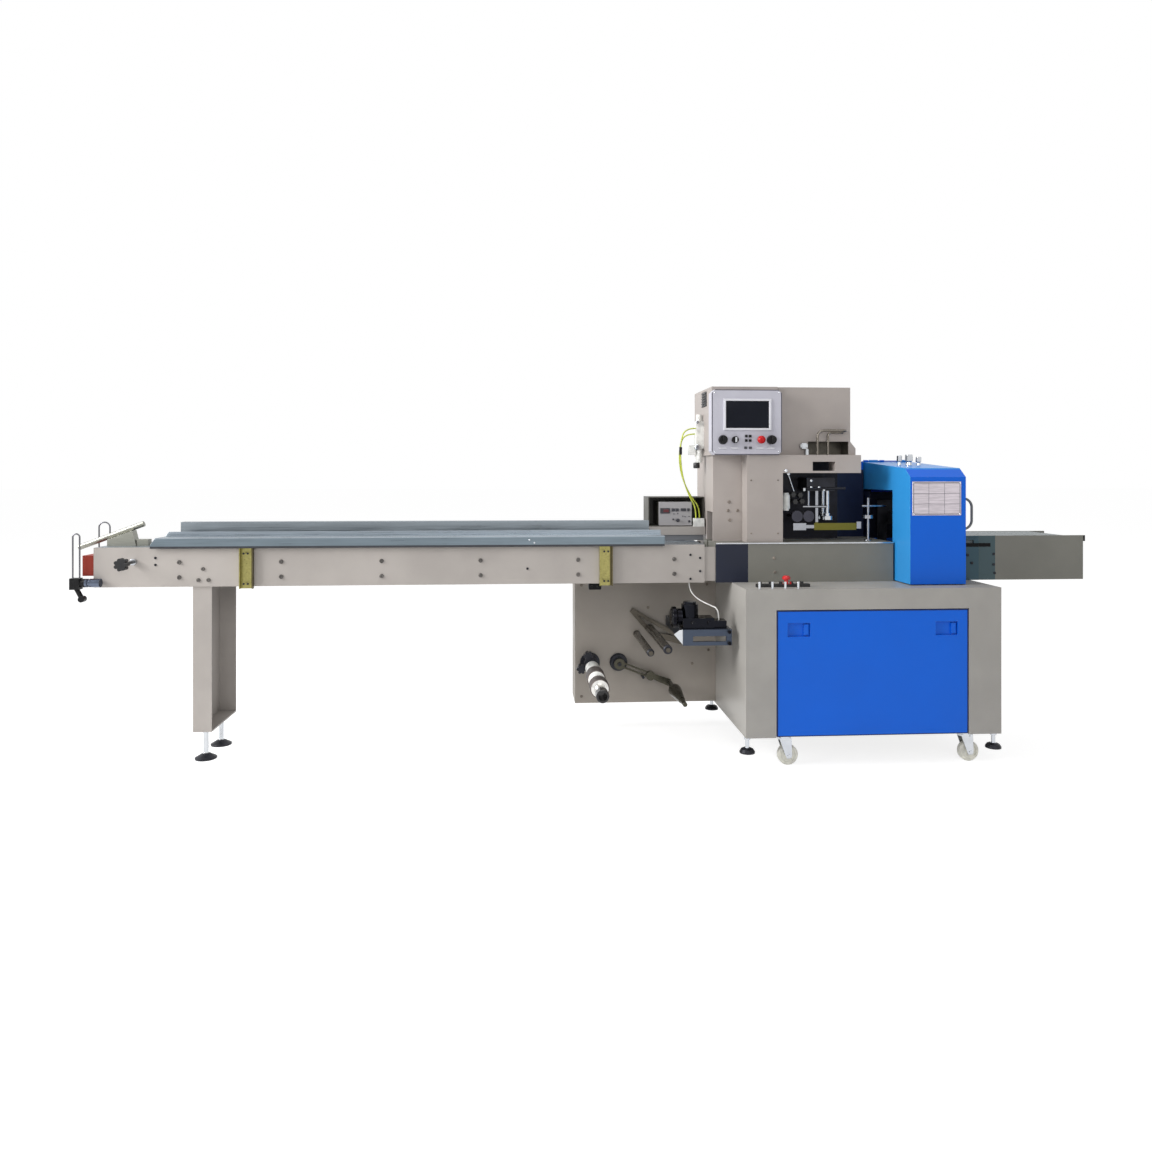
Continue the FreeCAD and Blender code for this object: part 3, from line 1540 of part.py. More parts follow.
def make_printer_box():
    right = s.tower_left - s.printer_gap
    left = right - s.printer_length
    shelf_front = s.product_line + s.rail_half_gap + 3
    front = s.product_line + 100
    low = bed + 24
    base = low + 36
    back = front + 200
    post_y = plates_back - 30
    shelf = [
        box("shelf_plate", left, right, shelf_front, back, low, base),
        box("shelf_foot_left", left + 20, left + 50, post_y, plates_back, bed, low),
        box("shelf_foot_right", infeed_right - 60, infeed_right - 30, post_y, plates_back, bed, low),
    ]
    top = base + 129
    case = new_body("box_frame")
    pad(case, "XZ", rectangle(left, right, base, top), front, front + 150)
    opening = rectangle(left + 4, right - 4, base + 4, top - 4)
    pocket(case, "XZ", opening, front - 1, front + 146)
    face = box("printer_face", left + 44, left + 190, front - 10, front + 140, base + 4, base + 108)
    node(compound("printer_box", [fused("box_shelf", shelf), case, face]), "printer_box")

    x = s.tower_left - 12
    y = s.product_line + 60
    body = [
        box("regulator_body", x - 34, x, y, y + 44, arm_top + 30, arm_top + 150),
        cylinder("regulator_bowl", "z", x - 17, y + 22, arm_top - 30, 15, 60),
        cylinder("regulator_knob", "z", x - 17, y + 22, arm_top + 150, 13, 30),
        box("regulator_valve", x - 62, x - 34, y + 8, y + 36, arm_top + 4, arm_top + 46),
    ]
    valve_top = base + 36
    valve = box("valve_block", right - 50, right - 4, shelf_front, shelf_front + 28, base, valve_top)
    gland_x = s.cabinet_left - s.coder_from_cabinet + 92
    gland = box("hose_gland", gland_x - 9, gland_x + 9, inner_front, -50, deck, deck + 16)
    node(compound("air_fittings", [fused("air_regulator", body), valve, gland]), "air_fittings")

    y_low = shelf_front + 9
    first = [
        (x - 34, y + 12, arm_top + 120),
        (x - 80, y + 12, arm_top + 120),
        (x - 100, y + 12, arm_top + 64),
        (x - 101, y + 12, arm_top - 20),
        (x - 90, y + 14, arm_top - 100),
        (x - 60, y_low, arm_top - 180),
        (x - 32, y_low, valve_top + 48),
        (x - 32, y_low, valve_top),
    ]
    node(wire("air_tube_1", first, 3), "air_tube_1")
    second = [
        (x - 34, y + 28, arm_top + 96),
        (x - 80, y + 28, arm_top + 96),
        (x - 102, y + 28, arm_top + 42),
        (x - 103, y + 29, arm_top - 40),
        (x - 84, y + 30, arm_top - 115),
        (x - 48, y_low + 10, arm_top - 185),
        (x - 14, y_low + 10, valve_top + 48),
        (x - 14, y_low + 10, valve_top),
    ]
    node(wire("air_tube_2", second, 3), "air_tube_2")


make_cabinet()
make_castors()
make_feet(make_leg())
make_motor()
make_deck_controls()
make_film_frame()
make_reel()
make_dancer(make_rollers())
make_coder()
make_infeed()
make_rails()
make_tension_knob()
make_left_end()
make_table()
make_tower()
make_panel()
make_fin_seal()
make_guard()
make_jaws()
make_outfeed()
make_printer_box()
doc.recompute()

for item in doc.Objects:
    if "Invalid" in item.State or "Error" in item.State:
        raise ValueError(f"{item.Label} failed: {item.State}")
for item in nodes:
    if item.Shape.isNull() or not item.Shape.isValid() or not item.Shape.Solids:
        raise ValueError(f"{item.Label} has no valid solid")
os.makedirs("parts", exist_ok=True)
for item in nodes:
    item.Shape.exportStep(f"parts/{item.Label}.step")
print(len(nodes), "nodes")
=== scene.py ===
"""Horizontal flow wrapper: its paints, metals, fasteners, chain, hoses and the studio it stands in.

Lengths are metres. X is the way the product travels, Y runs from the operator's side to the back
and Z is up.
"""

import math

import bmesh
import bpy
from bpy.props import FloatProperty, FloatVectorProperty, PointerProperty
from mathutils import Matrix, Vector


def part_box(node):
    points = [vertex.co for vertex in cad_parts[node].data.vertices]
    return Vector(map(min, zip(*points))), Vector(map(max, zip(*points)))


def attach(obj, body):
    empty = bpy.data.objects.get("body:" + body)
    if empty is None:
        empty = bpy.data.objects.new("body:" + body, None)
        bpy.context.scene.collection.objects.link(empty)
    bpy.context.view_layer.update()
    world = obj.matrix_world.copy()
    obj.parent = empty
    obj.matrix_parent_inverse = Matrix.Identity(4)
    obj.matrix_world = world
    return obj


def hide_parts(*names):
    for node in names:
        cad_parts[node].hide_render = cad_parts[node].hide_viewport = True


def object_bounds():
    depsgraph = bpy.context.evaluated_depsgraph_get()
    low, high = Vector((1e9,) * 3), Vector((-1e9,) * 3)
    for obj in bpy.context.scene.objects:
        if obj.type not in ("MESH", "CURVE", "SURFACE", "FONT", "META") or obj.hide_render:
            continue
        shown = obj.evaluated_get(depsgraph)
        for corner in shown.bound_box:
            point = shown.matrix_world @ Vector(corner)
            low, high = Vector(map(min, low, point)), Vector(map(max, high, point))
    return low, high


bl_info = {
    "name": "Flow Wrapper",
    "version": (1, 0, 0),
    "blender": (4, 5, 0),
    "location": "View3D > Sidebar > Flow Wrapper",
    "description": "Dresses the flow wrapper's frame with its finishes, fasteners, chain and hoses",
    "category": "Object",
}

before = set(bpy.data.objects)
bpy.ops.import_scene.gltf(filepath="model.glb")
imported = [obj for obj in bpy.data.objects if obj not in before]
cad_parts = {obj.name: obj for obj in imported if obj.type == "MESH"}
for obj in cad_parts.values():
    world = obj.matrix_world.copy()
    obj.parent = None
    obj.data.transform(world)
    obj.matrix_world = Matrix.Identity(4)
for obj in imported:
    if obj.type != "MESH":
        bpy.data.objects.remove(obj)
cad_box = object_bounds()
FRONT = (0, -1, 0)
BACK = (0, 1, 0)
UP = (0, 0, 1)
DOWN = (0, 0, -1)
CASTORS = (1, 2, 3, 4)
BRACKET_X = (-1.381, 0.049)  # centres of the two rail brackets
MARGIN = 0.001  # how far an area reaches past its node

# specular level of each kind of skin
PAINT_SHINE = 0.3
GLOSS_SHINE = 0.25
PLASTIC_SHINE = 0.2
RUBBER_SHINE = 0.1

RUBBED = (0.42, 0.41, 0.39)  # bare metal on a rubbed edge
SMOOTH_BELOW = math.radians(35)  # faces that meet at less than this look smooth

# each kind of head: radius, height, number of sides and the recess's share of the radius
HEADS = {
    "leg bolt": (0.0078, 0.005, 20, 0.5),
    "bracket bolt": (0.0045, 0.004, 6, 0.3),
    "forming bolt": (0.007, 0.004, 6, 0.4),
    "outfeed bolt": (0.0055, 0.003, 16, 0.45),
    "axle nut": (0.0085, 0.006, 6, 0.4),
    "rail screw": (0.0042, 0.003, 14, 0.5),
    "panel screw": (0.0032, 0.0018, 12, 0.5),
    "cover screw": (0.006, 0.003, 16, 0.45),
    "plate screw": (0.0062, 0.004, 16, 0.45),
    "post screw": (0.0035, 0.002, 12, 0.45),
    "rivet": (0.0026, 0.0014, 10, 0.6),
}


def display(red, green, blue):
    """The linear colour of display steps from 0 to 255."""
    steps = [c / 255 for c in (red, green, blue)]
    return tuple(((c + 0.055) / 1.055) ** 2.4 if c > 0.04 else c / 12.92 for c in steps)


def colour(name, description, *steps):
    """A colour to choose, whose default is given in display steps."""
    return FloatVectorProperty(
        name=name, description=description, subtype="COLOR", size=3, min=0, max=1, default=display(*steps)
    )


def length(name, description, default):
    """A length to choose, in metres."""
    return FloatProperty(name=name, description=description, unit="LENGTH", min=0.0005, default=default)


class WrapperColours(bpy.types.PropertyGroup):
    """Colours of the paints, metals and plastics."""

    grey: colour("Grey", "Powder coat of the cabinet", 157, 154, 149)
    tower_grey: colour("Tower grey", "Powder coat of the tower and forming box", 167, 159, 154)
    plate_grey: colour("Plate grey", "Coat of the infeed's plates and the leg", 166, 160, 155)
    film_grey: colour("Film plate grey", "Coat of the plate that carries the film", 154, 147, 139)
    blue: colour("Blue", "Gloss coat of the door and guard", 0, 93, 206)
    navy: colour("Navy", "Coat of the small plate beside the table", 20, 26, 44)
    table: colour("Table grey", "Coat of the table's cover and the outfeed", 120, 119, 112)
    steel: colour("Steel", "Stainless steel of rails and beds", 148, 157, 165)
    chrome: colour("Chrome", "Bright plated rods and handles", 200, 203, 207)
    dark: colour("Dark metal", "Blackened cast and turned parts", 34, 35, 41)
    black: colour("Black", "Black plastic of knobs and switches", 12, 12, 14)
    zinc: colour("Yellow zinc", "Yellow passivated brackets", 154, 147, 92)
    motor: colour("Motor red", "Red-brown coat of the motor", 128, 50, 32)
    nylon: colour("Nylon", "Castor wheels", 226, 224, 212)
    panel: colour("Panel", "Control panel's face", 184, 183, 193)
    screen: colour("Screen", "Dark glass of the display", 16, 19, 29)
    red: colour("Red", "Stop buttons", 186, 22, 26)
    hose: colour("Air tube", "Yellow-green air tubing", 176, 186, 62)
    white: colour("White", "White tubing and valve bodies", 226, 226, 222)


class WrapperSizes(bpy.types.PropertyGroup):
    """Sizes of the small parts."""

    screw: length("Screw radius", "Button-head screws on the side plates", 0.0085)
    small_screw: length("Small screw radius", "Small screws on the side plates", 0.005)
    link_pitch: length("Link pitch", "Spacing of the infeed chain's rollers", 0.017)


class StudioSettings(bpy.types.PropertyGroup):
    """Camera, floor and lamps."""

    lens: FloatProperty(name="Lens", description="Focal length", unit="CAMERA", default=27.125)
    sky: FloatProperty(name="Sky", description="Strength of the even light", min=0, default=0.47)
    glow: FloatProperty(name="Floor glow", description="The floor's brightness in view", min=0, default=1.6)
    key: FloatProperty(name="Key", description="Power of the lamp at the left", min=0, default=510)


# shader building


def feed(tree, socket, value):
    """Links a socket to another one, or sets its value."""
    if isinstance(value, bpy.types.NodeSocket):
        tree.links.new(value, socket)
    elif socket.type == "RGBA":
        socket.default_value = (*value[:3], 1)
    else:
        socket.default_value = value


def add(tree, kind, settings=None, **inputs):
    """A node of that kind. Each input is a value or the socket that feeds it."""
    item = tree.nodes.new(kind)
    for name, value in (settings or {}).items():
        setattr(item, name, value)
    for name, value in inputs.items():
        key = int(name[1:]) if name[1:].isdigit() else name.replace("_", " ")
        feed(tree, item.inputs[key], value)
    return item


def result(tree, kind, settings=None, **inputs):
    """The first output of a new node of that kind."""
    return add(tree, kind, settings, **inputs).outputs[0]


def maths(tree, work, a, b=0.0):
    return result(tree, "ShaderNodeMath", {"operation": work}, i0=a, i1=b)


def vector_maths(tree, work, a, b=(0, 0, 0)):
    item = add(tree, "ShaderNodeVectorMath", {"operation": work}, i0=a, i1=b)
    return item.outputs["Value" if work in ("DOT_PRODUCT", "LENGTH") else "Vector"]


def spread(tree, value, low, high, start=0.3, end=0.7):
    """Runs smoothly from low to high as the value goes from start to end."""
    item = add(tree, "ShaderNodeMapRange", {"interpolation_type": "SMOOTHSTEP"}, Value=value)
    for key, number in (("From Min", start), ("From Max", end), ("To Min", low), ("To Max", high)):
        feed(tree, item.inputs[key], number)
    return item.outputs[0]


def mix_colours(tree, share, a, b):
    return add(tree, "ShaderNodeMix", {"data_type": "RGBA"}, i0=share, i6=a, i7=b).outputs[2]


def mix_numbers(tree, share, a, b):
    return result(tree, "ShaderNodeMix", i0=share, i2=a, i3=b)


def grain(tree, where, scale, detail=2.0, stretch=None):
    """A noise value; stretch gives its scale along X, Y and Z."""
    if stretch:
        where = result(tree, "ShaderNodeMapping", Vector=where, Scale=stretch)
    return result(tree, "ShaderNodeTexNoise", Vector=where, Scale=scale, Detail=detail)


def shades(tree, base, share, dark, light):
    """The base colour, between a darker and a lighter tone of it."""
    low = tuple(c * dark for c in base)
    high = tuple(min(1, c * light) for c in base)
    return mix_colours(tree, share, low, high)


def skin(tree, base, tones, roughs, metal, marks, relief, depth):
    """A finish whose marks shift its tone and roughness and whose relief rises by depth."""
    tone = shades(tree, base, spread(tree, marks, 0, 1), *tones)
    return tone, spread(tree, marks, *roughs), metal, maths(tree, "MULTIPLY", relief, depth)


def coated(tree, where, base, roughness=0.42):
    """Powder coat: faint patches and a fine orange peel."""
    patches = grain(tree, where, 5, 4)
    peel = grain(tree, where, 480, 1)
    return skin(tree, base, (0.93, 1.05), (roughness - 0.06, roughness + 0.1), 0.0, patches, peel, 0.00006)


def glossy_coat(tree, where, base, roughness=0.3):
    """Smoother gloss coat with a slow waviness."""
    patches = grain(tree, where, 3.5, 3)
    waves = grain(tree, where, 60, 2)
    roughs = (roughness - 0.02, roughness + 0.03)
    return skin(tree, base, (0.97, 1.02), roughs, 0.0, patches, waves, 0.00015)


def brushed(tree, where, base, roughness=0.34, stretch=(6, 260, 260), contrast=1.0):
    """Metal with fine lines along one direction."""
    lines = grain(tree, where, 3, 3, stretch)
    clouds = grain(tree, where, 4, 3)
    both = maths(tree, "ADD", maths(tree, "MULTIPLY", lines, 0.7), maths(tree, "MULTIPLY", clouds, 0.3))
    tones = (1 - 0.2 * contrast, 1 + 0.12 * contrast)
    roughs = (roughness - 0.08, roughness + 0.12)
    return skin(tree, base, tones, roughs, 0.9, both, lines, 0.00012 * contrast)


def plated(tree, where, base, roughness=0.14):
    """Bright plating with faint smudges."""
    smudge = grain(tree, where, 30, 4)
    return skin(tree, base, (0.93, 1.03), (roughness - 0.05, roughness + 0.1), 1.0, smudge, smudge, 0.00008)


def darkened(tree, where, base, roughness=0.42):
    """Blackened or cast metal with a fine rough skin."""
    pits = grain(tree, where, 240, 3)
    wear = grain(tree, where, 24, 4)
    return skin(tree, base, (0.72, 1.5), (roughness - 0.1, roughness + 0.12), 0.55, wear, pits, 0.00016)


def moulded(tree, where, base, roughness=0.38):
    """Moulded plastic with a fine grain."""
    fine = grain(tree, where, 700, 1)
    worn = grain(tree, where, 40, 3)
    return skin(tree, base, (0.85, 1.15), (roughness - 0.06, roughness + 0.1), 0.0, worn, fine, 0.00008)


def woven(tree, where, base, roughness=0.62):
    """Belt face: fine crossing ribs."""
    waves = [
        add(tree, "ShaderNodeTexWave", {"bands_direction": way}, Vector=where, Scale=150, Distortion=0.2)
        for way in ("X", "Y")
    ]
    both = maths(tree, "MULTIPLY", waves[0].outputs[1], waves[1].outputs[1])
    dirt = grain(tree, where, 9, 4)
    tone = mix_colours(tree, both, shades(tree, base, dirt, 0.72, 1.0), shades(tree, base, dirt, 0.95, 1.2))
    return tone, roughness, 0.0, maths(tree, "MULTIPLY", both, 0.0003)


def glazed(tree, where, base, roughness=0.09):
    """Smooth dark glass with faint smudges."""
    smudge = grain(tree, where, 18, 4)
    rough = spread(tree, smudge, roughness - 0.03, roughness + 0.1)
    return shades(tree, base, smudge, 0.95, 1.1), rough, 0.0, maths(tree, "MULTIPLY", smudge, 0.00003)


def within(tree, where, low, high):
    """1 inside the box from low to high."""
    centre = tuple((a + b) / 2 for a, b in zip(low, high))
    half = tuple((b - a) / 2 for a, b in zip(low, high))
    away = vector_maths(tree, "ABSOLUTE", vector_maths(tree, "SUBTRACT", where, centre))
    apart = add(tree, "ShaderNodeSeparateXYZ", Vector=vector_maths(tree, "SUBTRACT", away, half)).outputs
    furthest = maths(tree, "MAXIMUM", maths(tree, "MAXIMUM", apart[0], apart[1]), apart[2])
    return maths(tree, "LESS_THAN", furthest, 0.0)


def any_of(tree, where, boxes):
    """1 inside any of the boxes."""
    share = within(tree, where, *boxes[0])
    for corners in boxes[1:]:
        share = maths(tree, "MAXIMUM", share, within(tree, where, *corners))
    return share


def empty_tree(owner):
    """The node tree of a material or world, cleared."""
    owner.use_nodes = True
    owner.node_tree.nodes.clear()
    return owner.node_tree


def seen(tree):
    """1 for the camera's rays, also by way of a mirror or glass."""
    path = add(tree, "ShaderNodeLightPath").outputs
    mirrored = maths(tree, "MAXIMUM", path["Is Glossy Ray"], path["Is Transmission Ray"])
    return maths(tree, "MAXIMUM", path["Is Camera Ray"], mirrored)


def new_material(name, base, areas=(), edge=0.0012, edge_wear=0.35, specular=0.5):
    """One shader: a base finish, then each area's finish, given as (finish, box, box, ...).

    Edges look rounded by edge, and edge_wear is how much of the bare metal shows there.
    """
    material = bpy.data.materials.new(name)
    tree = empty_tree(material)
    where = add(tree, "ShaderNodeTexCoord").outputs["Object"]
    tone, rough, metal, height = base(tree, where)
    for look, *boxes in areas:
        share = any_of(tree, where, boxes)
        new_tone, new_rough, new_metal, new_height = look(tree, where)
        tone = mix_colours(tree, share, tone, new_tone)
        rough = mix_numbers(tree, share, rough, new_rough)
        metal = mix_numbers(tree, share, metal, new_metal)
        height = mix_numbers(tree, share, height, new_height)
    rounded = result(tree, "ShaderNodeBevel", {"samples": 4}, Radius=edge)
    if edge_wear:
        flat = add(tree, "ShaderNodeNewGeometry").outputs["True Normal"]
        bend = vector_maths(tree, "DOT_PRODUCT", rounded, flat)
        rubbed = spread(tree, grain(tree, where, 55, 4), 0, edge_wear, 0.42, 0.68)
        worn = maths(tree, "MULTIPLY", spread(tree, bend, 1, 0, 0.8, 0.985), rubbed)
        tone = mix_colours(tree, worn, tone, RUBBED)
    bump = result(tree, "ShaderNodeBump", Height=height, Normal=rounded, Strength=1.0, Distance=1.0)
    inputs = {"Base_Color": tone, "Roughness": rough, "Metallic": metal, "Normal": bump}
    shader = add(tree, "ShaderNodeBsdfPrincipled", **inputs)
    shader.inputs["Specular IOR Level"].default_value = specular
    out = add(tree, "ShaderNodeOutputMaterial")
    tree.links.new(shader.outputs[0], out.inputs[0])
    return material


def finish(kind, base, **options):
    """A finish of that kind in a linear colour, ready for any tree."""
    return lambda tree, where: kind(tree, where, base, **options)


def in_colour(kind, red, green, blue, **options):
    """A finish of that kind in a colour given in display steps."""
    return finish(kind, display(red, green, blue), **options)


def area(node, x=(None, None), y=(None, None), z=(None, None)):
    """A box over part of a node. A side that is None reaches a margin past the node."""
    corners = []
    for number, (corner, reach) in enumerate(zip(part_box(node), (-MARGIN, MARGIN))):
        given = [sides[number] for sides in (x, y, z)]
        corners.append(tuple(own + reach if side is None else side for own, side in zip(corner, given)))
    return tuple(corners)


def dress(node, material):
    """Gives a carried-over node its material."""
    mesh_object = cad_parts[node]
    if not mesh_object.material_slots:
        mesh_object.data.materials.append(material)
    for holder in mesh_object.material_slots:
        holder.material = material


# mesh helpers


def add_block(shape, low, high, chamfer=0.0015):
    """A chamfered block between two corners."""
    middle = [(a + b) / 2 for a, b in zip(low, high)]
    sides = [b - a for a, b in zip(low, high)]
    place = Matrix.Translation(middle) @ Matrix.Diagonal((*sides, 1))
    corners = bmesh.ops.create_cube(shape, size=1, matrix=place)["verts"]
    edges = list(dict.fromkeys(edge for corner in corners for edge in corner.link_edges))
    bmesh.ops.bevel(shape, geom=edges, offset=min(chamfer, min(sides) * 0.45), segments=2, affect="EDGES")


def blocks(name, corners, chamfer, material, body):
    """One piece of chamfered blocks, each given by two corners."""
    shape = bmesh.new()
    for low, high in corners:
        add_block(shape, low, high, chamfer)
    return close_shape(name, shape, material, body)


def round_steps(sides):
    """The cosine and sine of even steps round a full turn."""
    angles = [2 * math.pi * step / sides for step in range(sides)]
    return [(math.cos(angle), math.sin(angle)) for angle in angles]


def add_wall(shape, first, second):
    """Faces between two rings of as many vertices."""
    for step in range(len(first)):
        after = (step + 1) % len(first)
        shape.faces.new((first[step], first[after], second[after], second[step]))


def add_rings(shape, rings):
    """A solid from rings of points: walls between them and a face at both ends."""
    rings = [[shape.verts.new(point) for point in ring] for ring in rings]
    for first, second in zip(rings, rings[1:]):
        add_wall(shape, first, second)
    shape.faces.new(list(reversed(rings[0])))
    shape.faces.new(rings[-1])


def add_turned(shape, profile, origin, axis, sides=32):
    """A solid of revolution: profile is a list of (distance along the axis, radius)."""
    turn = Vector(axis).to_track_quat("Z", "X").to_matrix().to_4x4()
    place = Matrix.Translation(origin) @ turn
    rings = []
    for along, radius in profile:
        rings.append([place @ Vector((radius * c, radius * s, along)) for c, s in round_steps(sides)])
    add_rings(shape, rings)


def stud(radius, height, tip, rise=0.001):
    """The profile of a straight stud whose end narrows to the tip's radius."""
    return [(0, radius), (height, radius), (height + rise, tip)]


def add_rod(shape, points, radius, sides=12):
    """A round rod through its points, closed at both ends."""
    points = [Vector(point) for point in points]
    steps = round_steps(sides)
    rings = []
    side = (points[1] - points[0]).orthogonal()
    for number, point in enumerate(points):
        before = points[max(number - 1, 0)]
        after = points[min(number + 1, len(points) - 1)]
        along = (after - before).normalized()
        side = (side - along * side.dot(along)).normalized()
        up = along.cross(side)
        rings.append([point + (side * c + up * s) * radius for c, s in steps])
    add_rings(shape, rings)


def add_frame(shape, low, high, border, back):
    """A rectangular frame in the XZ plane whose face is at low's Y and whose back is at Y back."""
    x0, face, z0 = low
    x1, _, z1 = high
    chamfer = 0.001
    loops = []
    for inset, y in (
        (0, back),
        (0, face + chamfer),
        (chamfer, face),
        (border - chamfer, face),
        (border, face + chamfer),
        (border, back),
    ):
        left, right, foot, head = x0 + inset, x1 - inset, z0 + inset, z1 - inset
        corners = ((left, foot), (right, foot), (right, head), (left, head))
        loops.append([shape.verts.new((x, y, z)) for x, z in corners])
    for first, second in zip(loops, loops[1:] + loops[:1]):
        add_wall(shape, first, second)


def set_on(made, body):
    """Lets a piece ride on its body."""
    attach(made, body)
    return made


def close_shape(name, shape, material, body):
    """Turns a shape into a piece that rides on a body."""
    bmesh.ops.recalc_face_normals(shape, faces=shape.faces)
    mesh = bpy.data.meshes.new(name)
    shape.to_mesh(mesh)
    shape.free()
    mesh.shade_smooth()
    mesh.set_sharp_from_angle(angle=SMOOTH_BELOW)
    mesh.materials.append(material)
    return set_on(new_object(name, mesh), body)


def new_object(name, data):
    """An object for that mesh, curve, lamp or camera, in the scene."""
    made = bpy.data.objects.new(name, data)
    bpy.context.scene.collection.objects.link(made)
    return made


def on_face(y, spots):
    """Points on a face at that Y, from their X and Z."""
    return [(x, y, z) for x, z in spots]


def points_object(name, points):
    """A mesh of loose points."""
    mesh = bpy.data.meshes.new(name)
    mesh.from_pydata(points, [], [])
    return new_object(name, mesh)


def bake_tree(made, tree, **inputs):
    """Runs a Geometry Nodes tree on an object and keeps the result as its plain mesh."""
    modifier = made.modifiers.new("shape", "NODES")
    modifier.node_group = tree
    for item in tree.interface.items_tree:
        if item.item_type == "SOCKET" and item.in_out == "INPUT" and item.name in inputs:
            modifier[item.identifier] = inputs[item.name]
    bpy.context.view_layer.update()
    shown = made.evaluated_get(bpy.context.evaluated_depsgraph_get())
    mesh = bpy.data.meshes.new_from_object(shown)
    made.modifiers.clear()
    old = made.data
    made.data = mesh
    bpy.data.meshes.remove(old)
    return made


def new_tree(name, sockets):
    """A Geometry Nodes tree with those inputs, and the outputs of its input node."""
    tree = bpy.data.node_groups.new(name, "GeometryNodeTree")
    tree.interface.new_socket("Geometry", in_out="INPUT", socket_type="NodeSocketGeometry")
    for label, kind, default in sockets:
        socket = tree.interface.new_socket(label, in_out="INPUT", socket_type=kind)
        if default is not None:
            socket.default_value = default
    tree.interface.new_socket("Geometry", in_out="OUTPUT", socket_type="NodeSocketGeometry")
    return tree, tree.nodes.new("NodeGroupInput").outputs


def close_tree(tree, placed, material):
    """Ends a tree in plain geometry with its material."""
    real = result(tree, "GeometryNodeRealizeInstances", Geometry=placed)
    coloured = result(tree, "GeometryNodeSetMaterial", Geometry=real, Material=material)
    out = tree.nodes.new("NodeGroupOutput")
    tree.links.new(coloured, out.inputs[0])
    return tree


def screw_tree():
    """Sets a chamfered, recessed screw head on each point, pointing along Direction."""
    tree, inside = new_tree(
        "Screw heads",
        [
            ("Radius", "NodeSocketFloat", 0.008),
            ("Height", "NodeSocketFloat", 0.004),
            ("Sides", "NodeSocketInt", 20),
            ("Recess", "NodeSocketFloat", 0.5),
            ("Direction", "NodeSocketVector", (0, 0, 1)),
            ("Material", "NodeSocketMaterial", None),
        ],
    )
    radius, height, sides, recess = inside["Radius"], inside["Height"], inside["Sides"], inside["Recess"]
    disc = result(tree, "GeometryNodeMeshCircle", {"fill_type": "NGON"}, Vertices=sides, Radius=radius)

    def raised(mesh, selection, by):
        item = add(tree, "GeometryNodeExtrudeMesh", {"mode": "FACES"}, Mesh=mesh, Offset_Scale=by)
        if selection is not None:
            tree.links.new(selection, item.inputs["Selection"])
        return item.outputs["Mesh"], item.outputs["Top"]

    def narrowed(mesh, selection, by):
        return result(tree, "GeometryNodeScaleElements", Geometry=mesh, Selection=selection, Scale=by)

    mesh, top = raised(disc, None, maths(tree, "MULTIPLY", height, 0.6))
    mesh, top = raised(mesh, top, maths(tree, "MULTIPLY", height, 0.4))
    mesh = narrowed(mesh, top, 0.8)
    mesh, top = raised(mesh, top, 0.0)
    mesh = narrowed(mesh, top, recess)
    mesh, top = raised(mesh, top, maths(tree, "MULTIPLY", height, -0.55))
    turn = result(tree, "FunctionNodeAlignRotationToVector", {"axis": "Z"}, Vector=inside["Direction"])
    placed = result(
        tree, "GeometryNodeInstanceOnPoints", Points=inside["Geometry"], Instance=mesh, Rotation=turn
    )
    return close_tree(tree, placed, inside["Material"])


def screws(name, body, points, direction, head, material):
    """One screw head on each point, facing that way."""
    tree = bpy.data.node_groups.get("Screw heads") or screw_tree()
    radius, height, sides, recess = head
    sizes = {"Radius": radius, "Height": height, "Sides": sides, "Recess": recess}
    made = bake_tree(points_object(name, points), tree, Direction=direction, Material=material, **sizes)
    return set_on(made, body)


